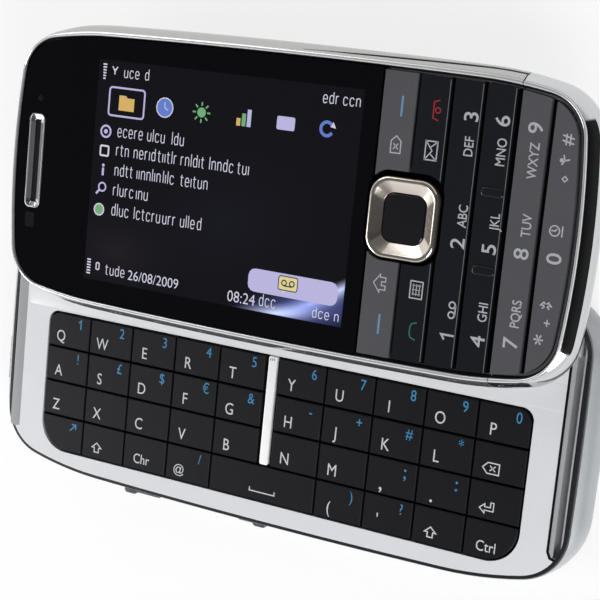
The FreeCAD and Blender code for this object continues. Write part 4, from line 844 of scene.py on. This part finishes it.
def screen_glow():
    """The dark lit field: violet at the left, brown at the foot, a cool beam at the lower right."""
    material = bpy.data.materials.new("screen_glow")
    material.use_nodes = True
    nodes, links = material.node_tree.nodes, material.node_tree.links
    shader = nodes["Principled BSDF"]
    shader.inputs["Roughness"].default_value = 0.06
    shader.inputs["Specular IOR Level"].default_value = 0.22
    shader.inputs["Emission Strength"].default_value = 1.0
    place = nodes.new("ShaderNodeTexCoord")

    def spot(x, y, reach_x, reach_y, turn, colour, before):
        """Adds a soft patch of light to what is there."""
        move = nodes.new("ShaderNodeMapping")
        move.vector_type = "TEXTURE"
        move.inputs["Location"].default_value = (x * mm, y * mm, screen_level * mm)
        move.inputs["Rotation"].default_value = (0, 0, math.radians(turn))
        move.inputs["Scale"].default_value = (reach_x * mm, reach_y * mm, 1)
        ball = nodes.new("ShaderNodeTexGradient")
        ball.gradient_type = "QUADRATIC_SPHERE"
        patch = nodes.new("ShaderNodeMix")
        patch.data_type = "RGBA"
        patch.blend_type = "ADD"
        patch.inputs["B"].default_value = (*shade(*colour), 1)
        links.new(place.outputs["Object"], move.inputs["Vector"])
        links.new(move.outputs["Vector"], ball.inputs["Vector"])
        links.new(ball.outputs["Color"], patch.inputs["Factor"])
        if before is None:
            patch.inputs["A"].default_value = (*shade(12, 12, 17), 1)
        else:
            links.new(before, patch.inputs["A"])
        return patch.outputs["Result"]

    light = spot(-28, 18, 16, 10, 0, (26, 20, 22), None)
    light = spot(-8, 26, 26, 16, 15, (11, 11, 17), light)
    light = spot(8, 14.3, 17, 4.6, 14, (96, 106, 180), light)
    light = spot(9, 15.5, 12, 2.0, 24, (160, 176, 228), light)
    light = spot(3, 13.0, 10, 1.8, 8, (205, 214, 242), light)
    light = spot(14, 18.6, 6, 1.5, 30, (205, 214, 250), light)
    grain = nodes.new("ShaderNodeTexChecker")
    grain.inputs["Scale"].default_value = 1 / (0.16 * mm)
    grain.inputs["Color1"].default_value = (1, 1, 1, 1)
    grain.inputs["Color2"].default_value = (0.86, 0.86, 0.88, 1)
    pixels = nodes.new("ShaderNodeMix")
    pixels.data_type = "RGBA"
    pixels.blend_type = "MULTIPLY"
    pixels.inputs["Factor"].default_value = 1.0
    links.new(place.outputs["Object"], grain.inputs["Vector"])
    links.new(light, pixels.inputs["A"])
    links.new(grain.outputs["Color"], pixels.inputs["B"])
    links.new(pixels.outputs["Result"], shader.inputs["Emission Color"])
    shader.inputs["Base Color"].default_value = (0.003, 0.003, 0.004, 1)
    return material


field = Pen(screen_level, 0.01)
field.bar(screen_x, open_y, screen_length, screen_width)
field.hand_in("screen_field", screen_glow(), "display_half", "display_panel")

lit_white = ink("lit_white", (204, 204, 220), 1.0)
lit_lavender = ink("lit_lavender", (180, 176, 218), 1.0)
lit_amber = ink("lit_amber", (206, 170, 92), 1.0)
lit_blue = ink("lit_blue", (88, 116, 196), 1.0)
lit_green = ink("lit_green", (104, 164, 112), 1.0)
white, lavender = Pen(pixels_level), Pen(pixels_level)
amber, blue, green = Pen(pixels_level), Pen(pixels_level), Pen(pixels_level)
dice = random.Random(7)


letter_shapes = [[[(0.6, 0.15), (0.4, 0), (0.15, 0), (0, 0.25), (0, 0.75), (0.15, 1), (0.45, 1), (0.6, 0.75), (0.6, 0.5), (0, 0.5)]],
                 [[(0, 0), (0, 1)], [(0, 0.8), (0.2, 1), (0.42, 1), (0.58, 0.8), (0.58, 0)]],
                 [[(0, 1), (0, 0.2), (0.15, 0), (0.4, 0), (0.58, 0.2)], [(0.58, 1), (0.58, 0)]],
                 [[(0, 0), (0, 1)], [(0, 0.75), (0.15, 1), (0.38, 1)]],
                 [[(0, 0), (0, 1.45)]],
                 [[(0.12, 1.3), (0.12, 0.15), (0.25, 0), (0.4, 0)], [(-0.08, 1), (0.4, 1)]],
                 [[(0.6, 0.8), (0.45, 1), (0.15, 1), (0, 0.75), (0, 0.25), (0.15, 0), (0.45, 0), (0.6, 0.2)]],
                 [[(0, 0), (0, 1)]],
                 [[(0.58, 1.45), (0.58, 0)], [(0.58, 0.8), (0.4, 1), (0.15, 1), (0, 0.75), (0, 0.25), (0.15, 0), (0.58, 0.1)]]]


def greek(pen, low_x, high_x, y, height=1.36):
    """A line of marks that stands for words without being any."""
    x = low_x
    while x < high_x - 0.5:
        word = min(x + dice.uniform(2.4, 5.2), high_x)
        while x < word - 0.3:
            letter = dice.choice(letter_shapes)
            pen.at(x + 0.1, y)
            for stroke in letter:
                pen.line([(part_x * 1.1, part_y * height) for part_x, part_y in stroke], 0.135)
            x += max(point[0] for stroke in letter for point in stroke) * 1.1 + 0.44
        x = word + 0.8


def frame_line(pen, x, y, length, width, corner, line):
    pen.at(0, 0).line([(point.x, point.y) for point in lozenge(x, y, length, width, corner, 0, 3)], line, True)


for step in range(6):
    white.at(-33.0, 46.2 + step * 0.46).bar(0, 0, 0.45 + step * 0.06, 0.24)
    white.at(-33.3, 13.7 + step * 0.46).bar(0, 0, 0.72, 0.24)
white.at(-31.0, 47.0).line([(0, 0), (0, 0.9)], 0.2).line([(-0.5, 1.3), (0, 0.5), (0.5, 1.3)], 0.2)
frame_line(white, -31.5, 15.1, 0.6, 1.1, 0.15, 0.2)
greek(white, -29.2, -24.2, 46.7, 1.2)
greek(white, 7.6, 14.2, 46.6, 1.2)
greek(white, 9.4, 14.2, 13.5, 1.1)
for x_end, y in ((-17.1, 37.0), (-4.0, 33.9), (-10.7, 30.6), (-23.0, 27.3), (-12.0, 24.0)):
    greek(white, -29.6, x_end, y)
greek(white, -29.9, -26.0, 14.0, 1.2)
white.at(-25.4, 14.6).text("26/08/2009", 1.6, "LEFT", 0.94, -0.01)
white.at(-6.1, 14.35).text("08:24", 1.75, "LEFT", 0.92, -0.01)
greek(white, -0.2, 2.4, 13.7, 1.3)
frame_line(lavender, -28.25, 42.65, 6.9, 4.6, 0.5, 0.3)
lavender.at(0, 0).bar(5.5, 17.6, 16.0, 3.7, 1.2)
amber.at(-28.25, 42.5).area([(-1.5, -1.2), (1.5, -1.2), (1.5, 0.9), (0.1, 0.9), (-0.2, 1.25), (-1.5, 1.25)])
blue.at(-20.8, 42.7).disc(0, 0, 1.5)
white.at(-20.8, 42.7).line([(0, 0.9), (0, 0), (0.65, -0.35)], 0.22).curve(0, 0, 1.55, 0, 360, 0.2)
green.at(-13.8, 42.7).disc(0, 0, 0.8)
for spoke in range(8):
    green.at(-13.8, 42.7, spoke * math.pi / 4).bar(1.35, 0, 0.6, 0.26)
for step, (pen, tall) in enumerate(((amber, 1.2), (green, 2.0), (lavender, 2.7))):
    pen.at(-6.9 + step * 0.95, 41.4).bar(0, tall / 2, 0.72, tall)
lavender.at(1.6, 42.7).bar(0, 0, 3.2, 2.1, 0.3)
blue.at(8.8, 42.7).curve(0, 0, 1.05, 30, 330, 0.5)
white.at(8.8, 42.7).area([(0.55, 0.35), (1.55, 0.2), (1.05, 1.15)])
lavender.at(-31.9, 37.6).curve(0, 0, 0.95, 0, 360, 0.32).disc(0, 0, 0.38)
frame_line(white, -31.9, 34.4, 1.6, 1.6, 0.2, 0.3)
lavender.at(-31.9, 31.2).bar(0, -0.25, 0.4, 1.3).disc(0, 0.8, 0.26)
lavender.at(-32.0, 28.1).curve(0.2, 0.3, 0.7, 0, 360, 0.26).line([(-0.3, -0.2), (-0.95, -0.95)], 0.36)
green.at(-32.1, 24.6).disc(0, 0, 0.85)
white.at(-32.1, 24.6).curve(0, 0, 0.95, 0, 360, 0.22)
for name, pen, glow in (("white", white, lit_white), ("lavender", lavender, lit_lavender), ("amber", amber, lit_amber),
                        ("blue", blue, lit_blue), ("green", green, lit_green)):
    pen.hand_in(f"screen_marks_{name}", glow, "display_half", "display_panel")
lit_cream, lit_brown = ink("lit_cream", (216, 204, 146), 1.0), ink("lit_brown", (36, 31, 28), 1.0)
popup = Pen(pixels_level + 0.013)
popup.at(4.7, 17.95).bar(0, 0, 3.3, 2.1, 0.35).area([(-0.9, -1.0), (-0.8, -1.7), (-0.3, -1.0)])
popup.hand_in("screen_message", lit_cream, "display_half", "display_panel")
reels = Pen(pixels_level + 0.026)
reels.at(4.7, 17.95).curve(-0.7, 0.05, 0.42, 0, 360, 0.2).curve(0.7, 0.05, 0.42, 0, 360, 0.2)
reels.line([(-0.7, -0.42), (0.7, -0.42)], 0.2)
frame_line(reels, 4.7, 17.95, 3.4, 2.2, 0.38, 0.16)
reels.hand_in("screen_message_reels", lit_brown, "display_half", "display_panel")

# Earpiece: a chrome surround that slopes into a slot, with a dark woven mesh at its foot.
ear_x, ear_length, ear_width, ear_corner = -46.05, 16.0, 3.1, 1.0
ear_end = 1.5
rim_profile = [(0.0, 13.3), (0.0, 14.38), (0.04, 14.43), (0.10, 14.45), (0.17, 14.45), (0.24, 14.41), (0.27, 14.36),
               (0.27, 13.3)]
slope_profile = [(0.25, 13.3), (0.25, 14.37), (0.94, 14.12), (0.98, 14.06), (0.98, 13.3)]


def ear_form(profile):
    return skin([lozenge(ear_x, open_y, ear_width - off * 2, ear_length - off * 2, max(ear_corner - off, 0.2), z, 8)
                 for off, z in profile])


# The one chrome surround is drawn in lit and shaded copies: the rim a lighter part-metal grey as painted highlight, the
# sloping sides a flat dark grey as painted shade. Only the two ends keep the plain chrome.
ear_rim_painted_highlight = finish("ear_rim_painted_highlight", (178, 179, 181), 0.25, metal=0.5, grain=0.2, relief=0.001, tone=0.03)
ear_sides_painted_shade = finish("ear_sides_painted_shade", (92, 93, 95), 0.35, metal=0.1, grain=0.2, relief=0.001, tone=0.03)
ear_black = finish("ear_black", (12, 11, 11), 0.7, gloss=0.15, grain=0.12, relief=0.04, tone=0.4)
ear_low, ear_high = open_y - ear_length / 2 + ear_end, open_y + ear_length / 2 - ear_end
up = (0, 1, 0)
piece("earpiece_rim", ear_form(rim_profile), ear_rim_painted_highlight, "display_half", ["earpiece_grille"])
sides = part_off(part_off(ear_form(slope_profile), ear_low, True, up), ear_high, False, up)
piece("earpiece_sides", sides, ear_sides_painted_shade, "display_half", ["earpiece_grille"])
piece("earpiece_end_low", part_off(ear_form(slope_profile), ear_low, False, up), trim_chrome, "display_half")
piece("earpiece_end_high", part_off(ear_form(slope_profile), ear_high, True, up), trim_chrome, "display_half")
mesh_cloth = tablet(ear_x, open_y, ear_width - 1.9, ear_length - 1.9, 0.1, 13.35, 14.0, 0.05)
piece("earpiece_mesh", mesh_cloth, ear_black, "display_half", ["earpiece_grille"])

# Face keys: strips cut from one plate, in dark grey metallic and in glossy black, on a rubber web.
strip_top = 14.35
strip_grey = finish("strip_grey", (88, 88, 92), 0.22, gloss=0.45, metal=0.15, grain=0.05, relief=0.0008, tone=0.06)
strip_black = finish("strip_black", (25, 26, 30), 0.09, gloss=0.35, coat=0.2, grain=0.8, relief=0.0003, tone=0.05)
dress(mat_black, "keypad_web")
dress(strip_grey, "softkey_strip_upper", "softkey_strip_lower", "number_row_3", "number_row_4", edge=0.14)
dress(strip_black, "call_strip_upper", "call_strip_lower", "number_row_1", "number_row_2", edge=0.14)
face_ink_level = strip_top + 0.001
digit_height, group_height = 2.2, 1.42
digit_width, group_width = 1.1, 0.84
mark_grey = ink("mark_grey", (168, 169, 173))
mark_red = ink("mark_red", (146, 32, 38))
mark_green = ink("mark_green", (30, 104, 76))
mark_pale_blue = ink("mark_pale_blue", (102, 136, 172))
quarter_turn = math.pi / 2


def row_marks(name, node, marks, extra=None):
    """Marks of one strip, read along the strip with their tops towards the display."""
    pen = Pen(face_ink_level)
    for words, x, y, height in marks:
        pen.at(x, y, quarter_turn).text(words, height, wide=digit_width if len(words) == 1 else group_width, bold=0.012)
    if extra:
        extra(pen)
    pen.hand_in(name, mark_grey, node, "face_key_grey" if node[-1] in "34" else "face_key_black")


def voice_marks(pen):
    pen.at(32.55, 18.5, quarter_turn)
    pen.curve(-0.75, 0.05, 0.48, 0, 360, 0.24).curve(0.75, 0.05, 0.48, 0, 360, 0.24).line([(-0.75, -0.5), (0.75, -0.5)], 0.22)


def foot_marks(pen):
    pen.at(46.9, 21.6, quarter_turn)
    pen.line([(-0.5, -0.55), (0.5, 0.35), (0, 0.8), (0, -0.8), (0.5, -0.35), (-0.5, 0.55)], 0.2)
    pen.at(47.0, 32.5, quarter_turn)
    pen.curve(0, 0.2, 0.75, 0, 360, 0.2).line([(0, 0.75), (0, 0.1), (0.35, -0.15)], 0.2)
    pen.line([(-0.8, -0.95), (0.8, -0.95)], 0.2)
    pen.at(47.0, 42.7, quarter_turn)
    pen.disc(-0.1, 0.45, 0.3).line([(-0.75, 0.4), (-0.1, 0), (0.1, -0.75)], 0.24).line([(-0.1, 0), (0.7, 0.2)], 0.22)
    pen.at(47.36, 40.0, quarter_turn).line([(-0.4, 0), (0, 0.4), (0.4, 0), (0, -0.4)], 0.18, True)


row_marks("marks_row_1", "number_row_1", [("1", 32.2, 14.5, digit_height), ("2", 32.2, 28.5, digit_height),
          ("ABC", 32.5, 32.6, group_height), ("DEF", 32.2, 42.8, group_height), ("3", 32.1, 47.2, digit_height)], voice_marks)
row_marks("marks_row_2", "number_row_2", [("4", 37.1, 14.6, digit_height), ("GHI", 37.4, 19.0, group_height),
          ("5", 37.2, 28.4, digit_height), ("JKL", 37.6, 32.5, group_height), ("MNO", 37.3, 42.6, group_height),
          ("6", 37.0, 47.1, digit_height)])
row_marks("marks_row_3", "number_row_3", [("7", 42.2, 15.2, digit_height), ("PQRS", 42.5, 19.6, group_height),
          ("8", 42.2, 28.45, digit_height), ("TUV", 42.5, 32.6, group_height), ("WXYZ", 42.3, 42.0, group_height),
          ("9", 42.1, 46.7, digit_height)])
row_marks("marks_row_4", "number_row_4", [("*", 46.9, 16.5, digit_height), ("+", 47.4, 19.1, 1.3),
          ("0", 47.2, 28.5, digit_height), ("#", 47.0, 45.6, 1.7)], foot_marks)
for name, y, low_y, sign in (("upper", 41.65, 45.9, clear_mark), ("lower", 20.6, 12.8, None)):
    pen = Pen(face_ink_level)
    if sign:
        pen.at(20.55, y, -quarter_turn, 0.95)
        clear_mark(pen)
    else:
        pen.at(20.45, y, quarter_turn)
        pen.line([(-0.95, -0.85), (-0.3, -0.85), (-0.3, -0.2), (0.3, -0.2), (0.3, -0.85), (0.95, -0.85), (0.95, 0.1),
                  (1.4, 0.1), (0, 1.15), (-1.4, 0.1), (-0.95, 0.1)], 0.17, True)
    pen.hand_in(f"softkey_sign_{name}", mark_grey, f"softkey_strip_{name}", "face_key_grey")
    bar = Pen(face_ink_level)
    bar.at(20.9, low_y + 1.6).bar(0, 0, 0.34, 3.1, 0.1)
    bar.hand_in(f"softkey_bar_{name}", mark_pale_blue, f"softkey_strip_{name}", "face_key_grey")

call_upper = Pen(face_ink_level)
call_upper.at(26.35, 41.5, quarter_turn)
call_upper.line([(-1.4, -0.95), (1.4, -0.95), (1.4, 0.95), (-1.4, 0.95)], 0.2, True)
call_upper.line([(-1.4, 0.95), (0, -0.15), (1.4, 0.95)], 0.18).line([(-1.4, -0.95), (-0.45, 0.15)], 0.18)
call_upper.line([(1.4, -0.95), (0.45, 0.15)], 0.18)
call_upper.hand_in("message_sign", mark_grey, "call_strip_upper", "face_key_black")
end_call = Pen(face_ink_level)
end_call.at(26.6, 47.5, quarter_turn)
end_call.line([(-1.5, -0.35), (-1.2, 0.55), (1.2, 0.55), (1.5, -0.35)], 0.22).curve(0, -0.15, 0.4, 0, 360, 0.2)
end_call.hand_in("end_call_sign", mark_red, "call_strip_upper", "face_key_black")
call_lower = Pen(face_ink_level)
call_lower.at(26.45, 20.55, quarter_turn)
call_lower.line([(-1.3, -1.0), (1.3, -1.0), (1.3, 1.0), (-1.3, 1.0)], 0.2, True)
for part in (-0.5, 0, 0.5):
    call_lower.bar(0, part, 1.8, 0.14).bar(part * 1.3, 0, 0.14, 1.4)
call_lower.hand_in("calendar_sign", mark_grey, "call_strip_lower", "face_key_black")
take_call = Pen(face_ink_level)
take_call.at(26.7, 14.3, quarter_turn)
take_call.line([(-1.35, -0.45), (-1.05, 0.4), (-0.5, 0.62), (0.5, 0.62), (1.05, 0.4), (1.35, -0.45)], 0.22)
take_call.hand_in("take_call_sign", mark_green, "call_strip_lower", "face_key_black")

# Painted highlight along the high-X edge of the black strips: a thin light line drawn on each, for the light that edge
# catches.
strip_edge_painted_highlight = finish("strip_edge_painted_highlight", (104, 105, 110), 0.2, gloss=0.6, grain=0.2, relief=0.0005)
for name in ("call_strip_upper", "call_strip_lower", "number_row_1", "number_row_2"):
    low, high = (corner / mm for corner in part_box(name))
    edge = Pen(strip_top, 0.006)
    edge.bar(high.x - 0.13, (low.y + high.y) / 2, 0.12, high.y - low.y - 0.8)
    edge.hand_in(f"{name}_edge", strip_edge_painted_highlight, name, "face_key_black")

# Two raised bars beside the middle key, for the thumb to find.
for name, y in (("low", 25.1), ("high", 36.65)):
    nub = tablet(36.7, y, 3.5, 1.35, 0.5, strip_top - 0.05, strip_top + 0.22, 0.2)
    piece(f"thumb_bar_{name}", nub, strip_black, "number_row_2")

# Direction pad: a champagne-plated ring that slopes inwards to a glossy black select key.
pad_x, pad_y, pad_side, pad_width, pad_corner = 22.8, 30.75, 11.4, 12.4, 3.1
hole_x, hole_y, hole_side, hole_width, hole_corner = 22.85, 30.75, 7.15, 7.7, 1.8
ring_share = [(0.0, 13.42), (0.0, 14.18), (0.03, 14.4), (0.09, 14.54), (0.17, 14.6), (0.25, 14.58), (0.31, 14.52),
              (0.36, 14.42), (0.95, 13.76), (1.0, 13.68), (1.0, 13.42)]


def pad_ring(share, z):
    outer = lozenge(pad_x, pad_y, pad_side, pad_width, pad_corner, z, 10)
    inner = lozenge(hole_x, hole_y, hole_side, hole_width, hole_corner, z, 10)
    return [a.lerp(b, share) for a, b in zip(outer, inner)]


champagne = finish("champagne_plate", (224, 214, 204), 0.14, metal=0.92, grain=0.12, relief=0.0006, tone=0.03)
piece("direction_ring_plate", skin([pad_ring(share, z) for share, z in ring_share]), champagne, "direction_ring",
      ["direction_ring"])
select_black = finish("select_black", (24, 24, 28), 0.06, gloss=0.5, coat=0.2, grain=0.8, relief=0.0002, polish=0.01)
piece("select_key_cap", tablet(hole_x, hole_y, 6.75, 7.3, 1.5, 12.95, 13.75, 0.2, steps=8), select_black,
      "select_key", ["select_key"], crease=15)
dress(mat_black, "direction_mat")
